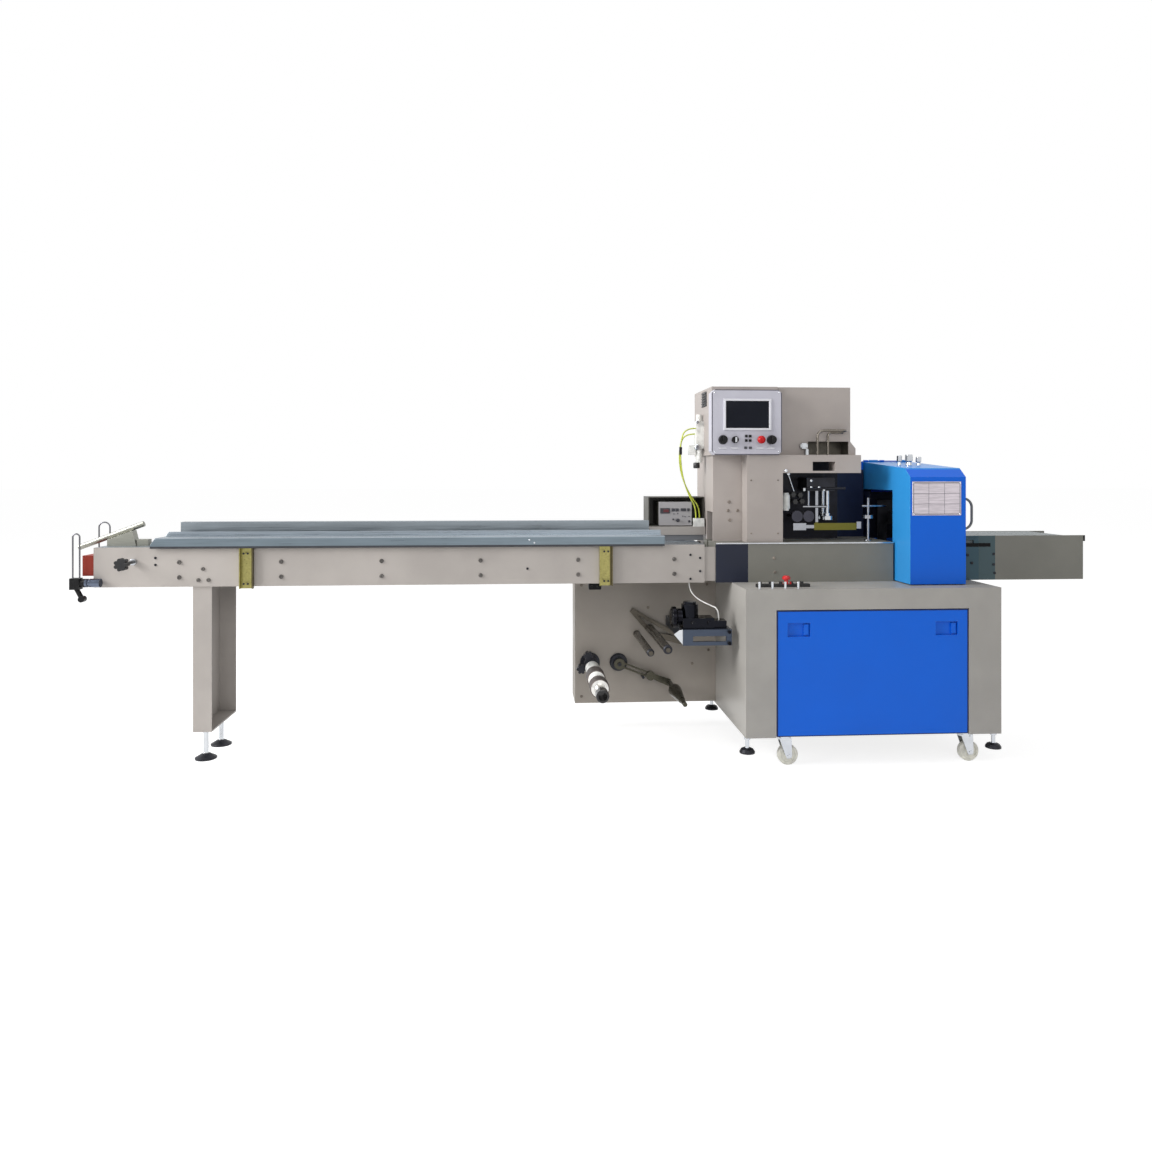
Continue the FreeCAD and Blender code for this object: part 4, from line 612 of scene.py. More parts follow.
def chain_tree():
    """Rollers and side plates at even steps along a closed line."""
    tree, inside = new_tree(
        "Chain links",
        [
            ("Pitch", "NodeSocketFloat", 0.017),
            ("Plate height", "NodeSocketFloat", 0.0085),
            ("Plate thickness", "NodeSocketFloat", 0.0014),
            ("Width", "NodeSocketFloat", 0.018),
            ("Roller radius", "NodeSocketFloat", 0.0056),
            ("Material", "NodeSocketMaterial", None),
        ],
    )
    pitch, width = inside["Pitch"], inside["Width"]
    quarter = (math.pi / 2, 0, 0)

    def drum(radius, depth):
        sizes = {"Vertices": 8, "Radius": radius, "Depth": depth}
        return result(tree, "GeometryNodeMeshCylinder", {"fill_type": "NGON"}, **sizes)

    def moved(mesh, **inputs):
        return result(tree, "GeometryNodeTransform", Geometry=mesh, **inputs)

    def spot(x=0.0, y=0.0):
        return result(tree, "ShaderNodeCombineXYZ", X=x, Y=y)

    def joined(*meshes):
        item = tree.nodes.new("GeometryNodeJoinGeometry")
        for mesh in meshes:
            tree.links.new(mesh, item.inputs[0])
        return item.outputs[0]

    def times(value, share):
        return maths(tree, "MULTIPLY", value, share)

    end = moved(drum(times(inside["Plate height"], 0.5), inside["Plate thickness"]), Rotation=quarter)
    half = times(pitch, 0.42)
    ends = joined(moved(end, Translation=spot(half)), moved(end, Translation=spot(times(half, -1))))
    plate = result(tree, "GeometryNodeConvexHull", Geometry=ends)
    away = times(maths(tree, "ADD", width, inside["Plate thickness"]), 0.5)
    roller = moved(drum(inside["Roller radius"], times(width, 0.9)), Rotation=quarter)
    near = moved(plate, Translation=spot(0.0, away))
    far = moved(plate, Translation=spot(0.0, times(away, -1)))
    link = joined(near, far, roller)
    line = result(tree, "GeometryNodeMeshToCurve", Mesh=inside["Geometry"])
    steps = result(tree, "GeometryNodeResampleCurve", {"mode": "LENGTH"}, Curve=line, Length=pitch)
    tangent = result(tree, "GeometryNodeInputTangent")
    facing = {"axis": "X", "pivot_axis": "Y"}
    turn = result(tree, "FunctionNodeAlignRotationToVector", facing, Vector=tangent)
    placed = result(tree, "GeometryNodeInstanceOnPoints", Points=steps, Instance=link, Rotation=turn)
    return close_tree(tree, placed, inside["Material"])


def slat_tree():
    """Tilted louvre slats, one on each point."""
    tree, inside = new_tree(
        "Louvre slats",
        [
            ("Size", "NodeSocketVector", (0.1, 0.004, 0.012)),
            ("Tilt", "NodeSocketVector", (0.5, 0, 0)),
            ("Material", "NodeSocketMaterial", None),
        ],
    )
    slat = result(tree, "GeometryNodeMeshCube", Size=inside["Size"])
    slat = result(tree, "GeometryNodeTransform", Geometry=slat, Rotation=inside["Tilt"])
    placed = result(tree, "GeometryNodeInstanceOnPoints", Points=inside["Geometry"], Instance=slat)
    return close_tree(tree, placed, inside["Material"])


def slats(name, body, points, size, tilt, material):
    """One tilted slat on each point."""
    tree = bpy.data.node_groups.get("Louvre slats") or slat_tree()
    made = bake_tree(points_object(name, points), tree, Size=size, Tilt=tilt, Material=material)
    return set_on(made, body)


def rib_tree():
    """Fine ribs set evenly round an axis along Y."""
    tree, inside = new_tree(
        "Grip ribs",
        [
            ("Count", "NodeSocketInt", 48),
            ("Radius", "NodeSocketFloat", 0.037),
            ("Rib", "NodeSocketVector", (0.0016, 0.04, 0.0014)),
            ("Material", "NodeSocketMaterial", None),
        ],
    )
    ring = result(tree, "GeometryNodeMeshCircle", Vertices=inside["Count"], Radius=inside["Radius"])
    ring = result(tree, "GeometryNodeTransform", Geometry=ring, Rotation=(math.pi / 2, 0, 0))
    rib = result(tree, "GeometryNodeMeshCube", Size=inside["Rib"])
    outward = result(tree, "GeometryNodeInputPosition")
    facing = {"axis": "Z", "pivot_axis": "Y"}
    turn = result(tree, "FunctionNodeAlignRotationToVector", facing, Vector=outward)
    around = result(tree, "GeometryNodeInstanceOnPoints", Points=ring, Instance=rib, Rotation=turn)
    placed = result(tree, "GeometryNodeInstanceOnPoints", Points=inside["Geometry"], Instance=around)
    return close_tree(tree, placed, inside["Material"])


def ribs(name, body, points, count, radius, rib, material):
    """A ring of ribs round each point."""
    tree = bpy.data.node_groups.get("Grip ribs") or rib_tree()
    sizes = {"Count": count, "Radius": radius, "Rib": rib}
    made = bake_tree(points_object(name, points), tree, Material=material, **sizes)
    return set_on(made, body)


def hose(name, points, radius, material):
    """A tube on one smooth spline through its control points."""
    curve = bpy.data.curves.new(name, "CURVE")
    curve.dimensions = "3D"
    spline = curve.splines.new("NURBS")
    spline.points.add(len(points) - 1)
    for place, point in zip(spline.points, points):
        place.co = (*point, 1)
    spline.order_u = 3
    spline.use_endpoint_u = True
    spline.resolution_u = 16
    curve.bevel_depth = radius
    curve.bevel_resolution = 6
    curve.use_fill_caps = True
    curve.materials.append(material)
    return new_object(name, curve)


# operators


class WrapperOperator:
    """What the operators of the flow wrapper share."""

    bl_options = {"REGISTER", "UNDO"}


class WRAPPER_OT_stage(WrapperOperator, bpy.types.Operator):
    """Makes the floor, the lamps, the sky and the camera"""

    bl_idname = "wrapper.stage"
    bl_label = "Stage"

    def execute(self, context):
        studio = context.scene.wrapper_studio
        white = (1, 1, 1)
        floor_grey = (0.82, 0.82, 0.82)
        reach = 60
        corners = [(-reach, -reach, 0), (reach, -reach, 0), (reach, reach, 0), (-reach, reach, 0)]
        mesh = bpy.data.meshes.new("floor")
        mesh.from_pydata(corners, [], [(0, 1, 2, 3)])
        floor = new_object("floor", mesh)
        material = bpy.data.materials.new("Pale floor")
        tree = empty_tree(material)
        matt = result(tree, "ShaderNodeBsdfDiffuse", Color=floor_grey)
        plain = result(tree, "ShaderNodeEmission", Color=white, Strength=studio.glow)
        half_seen = maths(tree, "MULTIPLY", seen(tree), 0.5)
        both = result(tree, "ShaderNodeMixShader", i0=half_seen, i1=matt, i2=plain)
        tree.links.new(both, add(tree, "ShaderNodeOutputMaterial").inputs[0])
        mesh.materials.append(material)

        world = bpy.data.worlds.new("Pale sky")
        context.scene.world = world
        tree = empty_tree(world)
        strength = mix_numbers(tree, seen(tree), studio.sky, 1.0)
        glow = result(tree, "ShaderNodeBackground", Color=white, Strength=strength)
        tree.links.new(glow, add(tree, "ShaderNodeOutputWorld").inputs[0])

        middle = (cad_box[0] + cad_box[1]) / 2
        for name, place, size, share in (
            ("key lamp", (-6.0, -1.6, 3.6), 3.2, 1.0),
            ("front lamp", (0.6, -6.5, 3.4), 3.0, 0.15),
            ("top lamp", (0.2, 0.6, 5.2), 3.5, 0.14),
        ):
            lamp = bpy.data.lights.new(name, "AREA")
            lamp.size = size
            lamp.energy = studio.key * share
            made = new_object(name, lamp)
            made.location = place
            made.rotation_euler = (middle - Vector(place)).to_track_quat("-Z", "Y").to_euler()

        view = bpy.data.cameras.new("camera")
        view.lens = studio.lens
        view.sensor_width = 36
        view.shift_y = -0.0894
        view.clip_end = 200
        camera = new_object("camera", view)
        camera.location = (-0.300, -3.610, 1.150)
        camera.rotation_euler = [math.radians(turn) for turn in (90, 0, -3.69)]
        context.scene.camera = camera
        context.scene.view_settings.view_transform = "Standard"
        return {"FINISHED"}


class WRAPPER_OT_hoses(WrapperOperator, bpy.types.Operator):
    """Lays the coder's white hose, the two air tubes beside the tower and the first tube's joint sleeve"""

    bl_idname = "wrapper.hoses"
    bl_label = "Hoses"

    def execute(self, context):
        tint = context.scene.wrapper_colours
        white = new_material("White hose", finish(moulded, tint.white, roughness=0.3), edge_wear=0)
        green = new_material("Air tube", finish(moulded, tint.hose, roughness=0.25), edge_wear=0)
        coder_route = [
            (0.397, -0.060, 0.700),
            (0.397, -0.060, 0.672),
            (0.421, -0.085, 0.636),
            (0.470, -0.118, 0.612),
            (0.501, -0.148, 0.602),
            (0.501, -0.148, 0.558),
        ]
        made = set_on(hose("coder_hose_tube", coder_route, 0.0025, white), "frame")
        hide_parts("coder_hose")

        first_route = [
            (0.466, 0.142, 1.345),
            (0.420, 0.142, 1.345),
            (0.400, 0.142, 1.289),
            (0.399, 0.142, 1.205),
            (0.410, 0.144, 1.125),
            (0.440, 0.147, 1.045),
            (0.468, 0.147, 1.000),
            (0.468, 0.147, 0.952),
        ]
        second_route = [
            (0.466, 0.158, 1.321),
            (0.420, 0.158, 1.321),
            (0.398, 0.158, 1.267),
            (0.397, 0.159, 1.185),
            (0.416, 0.160, 1.110),
            (0.452, 0.157, 1.040),
            (0.486, 0.157, 1.000),
            (0.486, 0.157, 0.952),
        ]
        for node, whole, route in (("air_tube_1", 0.449, first_route), ("air_tube_2", 0.435, second_route)):
            made = set_on(hose(node + "_line", route, 0.003, green), "frame")
            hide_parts(node)

        black = new_material("Joint sleeve", finish(moulded, tint.black), specular=PLASTIC_SHINE)
        shape = bmesh.new()
        add_rod(shape, [(0.4001, 0.142, 1.263), (0.3995, 0.142, 1.247), (0.3995, 0.142, 1.230)], 0.0065, 16)
        close_shape("tube_joint", shape, black, "frame")
        return {"FINISHED"}


class WRAPPER_OT_finishes(WrapperOperator, bpy.types.Operator):
    """Gives every carried-over piece its finish"""

    bl_idname = "wrapper.finishes"
    bl_label = "Finishes"

    def execute(self, context):
        tint = context.scene.wrapper_colours
        dark = finish(darkened, tint.dark)
        black = finish(moulded, tint.black)
        chrome = finish(plated, tint.chrome)
        white = finish(moulded, tint.white, roughness=0.3)
        red = finish(moulded, tint.red, roughness=0.28)
        plate_coat = finish(coated, tint.plate_grey)
        tower_coat = finish(coated, tint.tower_grey)
        table_coat = finish(coated, tint.table)
        blue_coat = finish(glossy_coat, tint.blue)

        def give(name, base, nodes, *areas, **options):
            made = new_material(name, base, areas, **options)
            for node in nodes:
                dress(node, made)

        def paint(name, base, nodes, *areas):
            give(name, base, nodes, *areas, specular=PAINT_SHINE)

        def gloss(name, node, *areas):
            give(name, blue_coat, [node], *areas, specular=GLOSS_SHINE)

        # painted boxes and plates
        paint("Grey coat", finish(coated, tint.grey), ["base_cabinet"])
        # Painted shade: the tower's face behind the fin sealer is painted near black, and the inside of the
        # arm's window a dark grey.
        shaded_back_face = (0.788, 0.1385, 0.862), (1.0985, 0.1415, 1.2255)
        shaded_window = (0.9145, -0.0085, 1.2275), (1.0905, 0.3, 1.2835)
        shaded_recesses = (in_colour(darkened, 30, 30, 36), shaded_back_face), (in_colour(darkened, 96, 92, 84), shaded_window)
        paint("Tower coat", tower_coat, ["tower"], *shaded_recesses)
        paint("Forming box coat", tower_coat, ["forming_housing"])
        low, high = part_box("tension_knob")
        boss = (low.x - 0.004, -0.0985, low.z - 0.004), (high.x + 0.004, -0.0853, high.z + 0.004)
        paint("Plate coat", plate_coat, ["infeed_side_plates", "infeed_leg"], (chrome, boss))
        paint("Film plate coat", finish(coated, tint.film_grey), ["film_frame"])

        low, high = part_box("front_door")
        # Painted shade: a 4 mm rim round the door's face is painted dark navy, as the shade of the seam
        # round the door.
        strip = 0.004
        face = (None, low.y + MARGIN)
        edges = [
            area("front_door", y=face, z=(None, low.z + strip)),
            area("front_door", y=face, z=(high.z - strip, None)),
            area("front_door", x=(None, low.x + strip), y=face),
            area("front_door", x=(high.x - strip, None), y=face),
        ]
        gloss("Door coat", "front_door", (in_colour(glossy_coat, 8, 34, 92), *edges))

        sheet = 0.0012
        guard = "end_guard"
        low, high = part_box(guard)
        # Painted light: the guard's top 45 mm and its left side are a paler blue, as its lit faces.
        lit_crown = area(guard, x=(low.x + sheet, None), y=(low.y + MARGIN, None), z=(high.z - 0.045, None))
        gloss(
            "Blue coat",
            guard,
            (in_colour(glossy_coat, 34, 128, 206), lit_crown),
            (in_colour(glossy_coat, 48, 140, 206), area(guard, x=(None, low.x + sheet))),
        )
        rear = "guard_rear_housing"
        low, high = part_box(rear)
        base_z, split_z = 0.86, 1.165
        # Painted shade: the housing's inside is dark navy and its deepest corner near black. Its left side
        # is a shaded blue above and dark navy below.
        inside = area(rear, x=(low.x + 0.0005, 1.30), y=(None, 0.30), z=(base_z, split_z))
        deepest_shade = area(rear, x=(1.17, high.x), y=(None, low.y + 0.0022), z=(base_z, 1.13))
        shaded_side_high = area(rear, x=(None, low.x + sheet), z=(split_z, None))
        shaded_side_low = area(rear, x=(None, low.x + sheet), z=(0.70, split_z))
        gloss(
            "Rear housing coat",
            rear,
            (in_colour(glossy_coat, 22, 32, 60), inside),
            (in_colour(darkened, 10, 12, 26), deepest_shade),
            (in_colour(glossy_coat, 24, 104, 176), shaded_side_high),
            (in_colour(glossy_coat, 14, 32, 84), shaded_side_low),
        )

        table = "table_housing"
        low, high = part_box(table)
        navy = area(table, x=(None, 0.6372), y=(None, low.y + 0.0112), z=(low.z, high.z - 0.0048))
        lip = area(table, y=(None, low.y + 0.0035), z=(high.z - 0.0052, None))
        paint("Table coat", table_coat, [table], (finish(coated, tint.navy), navy), (chrome, lip))
        outfeed = "outfeed_frame"
        low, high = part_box(outfeed)
        # Painted shade: the outfeed's front next to the guard and its mount are a dark blue-grey, as the
        # guard's shade.
        shaded_front = area(outfeed, x=(low.x, 1.70), y=(low.y, -0.0685), z=(None, high.z))
        mount = area(outfeed, x=(None, 1.628), y=(None, -0.0698), z=(None, high.z))
        cap = area(outfeed, x=(2.0862, None), y=(low.y, None), z=(0.86, None))
        paint(
            "Outfeed coat",
            table_coat,
            [outfeed],
            (in_colour(coated, 66, 84, 88), shaded_front),
            (in_colour(coated, 52, 77, 86), mount),
            (black, cap),
        )

        # plating, castors, rails and beds
        forks = [f"castor_fork_{number}" for number in CASTORS]
        wheels = [f"castor_wheel_{number}" for number in CASTORS]
        bright = ["castor_plates", "guard_fittings", "fin_wheel_front", "fin_wheel_back", "infeed_shafts"]
        give("Bright plating", chrome, bright + forks)
        give("Bent bars", in_colour(plated, 118, 112, 104, roughness=0.2), ["lift_handle"])
        give("Guard handle", in_colour(moulded, 96, 98, 100), ["guard_handle"])
        give("Nylon", finish(moulded, tint.nylon, roughness=0.34), wheels)

        rails = "guide_rails"
        low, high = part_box(rails)
        near = (None, low.y + 0.012)
        soft = {"stretch": (2, 60, 60), "contrast": 0.45}
        # Painted shade: the front rail's face is a darker steel and the back rail a slightly darker one.
        # The black strip along the front rail's foot is painted shadow in the gap above the plate.
        give(
            "Stainless rails",
            finish(brushed, tint.steel, roughness=0.3, **soft),
            [rails],
            (in_colour(brushed, 112, 124, 132, **soft), area(rails, y=near, z=(None, 0.8905))),
            (in_colour(moulded, 38, 40, 46), area(rails, y=near, z=(None, 0.8605))),
            (in_colour(brushed, 140, 148, 154, **soft), area(rails, y=(0.134, None))),
        )
        give("Stop bar", in_colour(brushed, 146, 146, 137), ["stop_bar"])
        give("Stainless bed", finish(brushed, tint.steel, roughness=0.3), ["infeed_bed"])
        give("Chain steel", in_colour(darkened, 96, 94, 90), ["infeed_chain"])
        even = (40, 40, 40)
        strips = [((x + 0.0165, -0.2, 0.69), (x + 0.028, 0.3, 0.86)) for x in BRACKET_X]
        shadow = in_colour(brushed, 96, 88, 60, stretch=even)
        give("Yellow zinc", finish(brushed, tint.zinc, stretch=even), ["rail_brackets"], (shadow, *strips))
        give("Motor coat", finish(coated, tint.motor), ["drive_motor"])

        ends = "infeed_ends"
        low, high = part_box(ends)
        wall = 0.0035
        block = area(ends, x=(None, -1.95))
        # Painted shade: the inside of the tray is near black.
        tray_inside = area(ends, x=(0.4605, 0.4995), y=(low.y + wall, high.y - wall), z=(low.z + wall, None))
        block_coat = in_colour(coated, 132, 42, 28)
        tray_shade_coat = in_colour(darkened, 34, 34, 38)
        paint("End pieces", plate_coat, [ends], (block_coat, block), (tray_shade_coat, tray_inside))
        leg_stems = (-2.0, -0.3, 0.022), (-1.2, 0.3, 0.14)
        cabinet_stems = (0.4, -0.4, 0.081), (1.7, 0.4, 0.2)
        give("Levelling feet", dark, ["levelling_feet"], (chrome, leg_stems, cabinet_stems))

        # film path and coder
        pivot = (0.090, 0.150, 0.240), (0.250, 0.212, 0.360)
        arms = in_colour(brushed, 84, 79, 71, roughness=0.3, contrast=0.8)
        give("Guide arms", arms, ["film_guides"], (dark, pivot))
        give("Dancer", in_colour(brushed, 72, 70, 60, roughness=0.3, contrast=0.8), ["dancer_arm"])
        give("Coder bracket", in_colour(brushed, 68, 76, 90, contrast=0.7), ["coder_bracket"])
        give("Dark metal", dark, ["fin_seal_block", "end_seal_jaws", "reel_bearing"])
        roller = in_colour(brushed, 92, 88, 80, roughness=0.2, stretch=(160, 6, 160), contrast=0.8)
        for number in (1, 2):
            node = f"idler_roller_{number}"
            low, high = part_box(node)
            give(f"Roller {number}", roller, [node], (dark, area(node, y=(None, low.y + 0.012))))

        mesh_grey = in_colour(darkened, 92, 84, 80, roughness=0.5)
        bands = [
            (finish(moulded, tint.black, roughness=0.16), -0.400, -0.342),
            (in_colour(plated, 222, 220, 216, roughness=0.2), -0.342, -0.272),
            (mesh_grey, -0.272, -0.203),
            (white, -0.203, -0.122),
            (mesh_grey, -0.122, -0.037),
            (white, -0.037, 0.101),
        ]
        rings = [(look, area("reel_shaft", y=(front, back))) for look, front, back in bands]
        give("Reel shaft", finish(plated, tint.chrome, roughness=0.24), ["reel_shaft"], *rings)
        body = (0.345, -0.20, 0.53), (0.53, -0.10, 0.634)
        tilted = (0.305, -0.201, 0.467), (0.346, -0.19, 0.529)
        give(
            "Coder",
            in_colour(plated, 24, 24, 28, roughness=0.22),
            ["date_coder"],
            (in_colour(plated, 30, 31, 36, roughness=0.18), body),
            (chrome, tilted),
        )

        # controls and fittings
        give("Black knob", black, ["tension_knob"])
        split_z = 0.7402
        hooks = area("end_sensor", z=(split_z, None))
        barrel = area("end_sensor", x=(-1.993, None), y=(None, -0.08), z=(0.70, split_z))
        give(
            "End sensor",
            black,
            ["end_sensor"],
            (in_colour(plated, 112, 112, 116, roughness=0.2), hooks),
            (in_colour(plated, 96, 104, 120), barrel),
            specular=PLASTIC_SHINE,
        )
        low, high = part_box("deck_controls")
        stop = area("deck_controls", x=(0.733, 0.769), y=(-0.26, -0.20), z=(0.712, None))
        studs = area("deck_controls", x=(None, high.x), y=(None, -0.288), z=(0.699, None))
        give("Deck controls", black, ["deck_controls"], (red, stop), (chrome, studs))

        low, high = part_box("control_panel")
        border = 0.0035
        rim = area("control_panel", y=(None, low.y + 0.003))
        face = area(
            "control_panel",
            x=(low.x + border, high.x - border),
            y=(None, low.y + 0.0042),
            z=(low.z + border, high.z - border),
        )
        panel = finish(coated, tint.panel, roughness=0.34)
        rim_coat = in_colour(coated, 64, 64, 76)
        paint("Control panel", panel, ["control_panel"], (rim_coat, rim), (panel, face))
        stop = (0.671, low.y - 0.04, 1.26), (0.707, low.y - 0.013, 1.32)
        lamp = (0.573, low.y - 0.03, 1.277), (0.593, low.y - 0.019, 1.297)
        accents = (red, stop), (chrome, lamp)
        give("Panel controls", black, ["panel_controls"], *accents, specular=PLASTIC_SHINE)

        low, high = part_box("fin_fittings")
        olive = (0.9485, low.y, 0.9), (1.1325, 0.0195, 0.941)
        knobs = (0.846, 0.007, 1.016), (0.912, 0.029, 1.07)
        pulleys = (0.850, 0.0, 0.9415), (0.950, 0.139, 0.9905)
        posts = (0.846, 0.029, 1.0), (0.912, 0.139, 1.07)
        sleeve = (0.813, 0.0, 0.989), (0.8462, 0.04, 1.067)
        give(
            "Fin fittings",
            in_colour(plated, 158, 160, 166, roughness=0.16),
            ["fin_fittings"],
            (in_colour(brushed, 104, 100, 44, contrast=0.6), olive),
            (black, knobs),
            (in_colour(plated, 66, 66, 74, roughness=0.22), pulleys, posts),
            (white, sleeve),
        )
        give("Outfeed belt", in_colour(woven, 112, 122, 124, roughness=0.4), ["outfeed_belt"])

        low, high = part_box("printer_box")
        shelf = area("printer_box", z=(None, 0.9162))
        face = (low.x + 0.0435, low.y, 0.9202), (low.x + 0.1905, 0.1605, 1.0236)
        printer_coat, face_coat = in_colour(coated, 62, 60, 53), in_colour(coated, 158, 156, 158)
        give("Printer box", printer_coat, ["printer_box"], (plate_coat, shelf), (face_coat, face))
        valve_dark = (0.387, -0.08, 0.699), (0.407, -0.04, 0.717)
        give("Air fittings", white, ["air_fittings"], (black, valve_dark))
        return {"FINISHED"}


class WRAPPER_OT_infeed_screws(WrapperOperator, bpy.types.Operator):
    """Sets the screws of the infeed's side plates, leg, rails and brackets, and the black block under it"""

    bl_idname = "wrapper.infeed_screws"
    bl_label = "Infeed screws"

    def execute(self, context):
        sizes = context.scene.wrapper_sizes
        tint = context.scene.wrapper_colours
        metal = new_material("Dark screw", finish(darkened, tint.dark), edge_wear=0)
        pale = new_material("Bright screw", finish(plated, tint.chrome), edge_wear=0)
        grey = new_material("Steel screw", in_colour(darkened, 92, 89, 86), edge_wear=0)
        ties = [(-1.644 + 0.395 * place, z) for place in range(6) for z in (0.737, 0.797)]
        leg = [(-1.5526, 0.770), (-1.570, 0.726), (-1.5314, 0.726)]
        ends = [(-1.7354, 0.8146), (-1.7354, 0.787), (-0.270, 0.7624)]
        ends += [(0.398, 0.8143), (0.398, 0.7158), (0.438, 0.8013), (0.438, 0.7471)]
        clamps = [(x + dx, z) for x in BRACKET_X for dx in (-0.008, 0.008) for z in (0.712, 0.832)]
        plates = (-0.085, 0.225)
        for name, spots, faces, head, material in (
            ("plate_screws", ties, plates, (sizes.screw, 0.005, 20, 0.5), grey),
            ("leg_bolts", leg, plates, HEADS["leg bolt"], grey),
            ("small_screws", ends, plates, (sizes.small_screw, 0.003, 14, 0.5), metal),
            ("bracket_bolts", clamps, (-0.105, 0.245), HEADS["bracket bolt"], metal),
        ):
            screws(name + "_front", "frame", on_face(faces[0], spots), FRONT, head, material)
            screws(name + "_back", "frame", on_face(faces[1], spots), BACK, head, material)
        rail = on_face(-0.10, [(-0.262, 0.880), (-0.242, 0.868)])
        screws("rail_screws", "frame", rail, FRONT, HEADS["rail screw"], pale)

        shape = bmesh.new()
        add_block(shape, (-0.020, -0.083, 0.674), (0.031, -0.040, 0.702), 0.002)
        for x in (-0.008, 0.018):
            add_turned(shape, stud(0.005, 0.004, 0.004), (x, -0.0825, 0.687), FRONT, 12)
        black = new_material("Black block", finish(moulded, tint.black), specular=RUBBER_SHINE)
        close_shape("under_block", shape, black, "frame")
        return {"FINISHED"}


class WRAPPER_OT_chain(WrapperOperator, bpy.types.Operator):
    """Lays rollers and link plates along the infeed chain"""

    bl_idname = "wrapper.chain"
    bl_label = "Infeed chain"

    def execute(self, context):
        left, right, middle_z, radius, line_y = -1.872, 0.397, 0.800, 0.0495, 0.070
        half_turn = 24
        points = []
        for centre, start in ((right, math.pi / 2), (left, -math.pi / 2)):
            for step in range(half_turn + 1):
                angle = start - math.pi * step / half_turn
                x, z = centre + radius * math.cos(angle), middle_z + radius * math.sin(angle)
                points.append((x, line_y, z))
        mesh = bpy.data.meshes.new("chain_line")
        count = len(points)
        mesh.from_pydata(points, [(at, (at + 1) % count) for at in range(count)], [])
        made = new_object("chain_links", mesh)
        steel = new_material("Chain links", in_colour(darkened, 120, 116, 108, roughness=0.34), edge_wear=0)
        bake_tree(made, chain_tree(), Pitch=context.scene.wrapper_sizes.link_pitch, Material=steel)
        set_on(made, "frame")
        return {"FINISHED"}


class WRAPPER_OT_panel_trim(WrapperOperator, bpy.types.Operator):
    """Adds the display's bezel and glass, the bare tags, the keys and the screws of the control panel"""

    bl_idname = "wrapper.panel_trim"
    bl_label = "Panel trim"

    def execute(self, context):
        tint = context.scene.wrapper_colours
        low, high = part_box("control_panel")
        face = low.y
        seat = face + 0.0005
        bezel = new_material("Display bezel", in_colour(coated, 206, 206, 212, roughness=0.3))
        shape = bmesh.new()
        add_frame(shape, (0.536, face - 0.006, 1.326), (0.735, 0, 1.456), 0.009, face + 0.003)
        close_shape("display_bezel", shape, bezel, "frame")
        glass = new_material("Display glass", finish(glazed, tint.screen), specular=0.12)
        pane = (0.5452, face + 0.0008, 1.3352), (0.7258, face + 0.0022, 1.4468)
        blocks("display_glass", [pane], 0.0004, glass, "frame")
        tag = new_material("Bare tag", in_colour(brushed, 176, 176, 182, roughness=0.4))
        columns = (0.533, 0.583, 0.689, 0.735)
        tags = [((x - 0.016, face - 0.0012, 1.2475), (x + 0.016, seat, 1.2575)) for x in columns]
        blocks("switch_tags", tags, 0.0004, tag, "frame")

        keys = new_material("Panel keys", in_colour(moulded, 52, 52, 60))
        shape = bmesh.new()
        for x in (0.628, 0.648):
            add_block(shape, (x - 0.006, face - 0.003, 1.249), (x + 0.006, seat, 1.259), 0.001)
        for x in (columns[0], columns[-1]):
            add_turned(shape, stud(0.0195, 0.002, 0.018), (x, face + 0.0004, 1.287), FRONT, 40)
        close_shape("panel_keys", shape, keys, "frame")
        pale = new_material("Panel screw", finish(plated, tint.chrome), edge_wear=0)
        inset = 0.012
        corners = [(x, z) for x in (low.x + inset, high.x - inset) for z in (low.z + inset, high.z - inset)]
        screws("panel_screws", "frame", on_face(face, corners), FRONT, HEADS["panel screw"], pale)
        return {"FINISHED"}


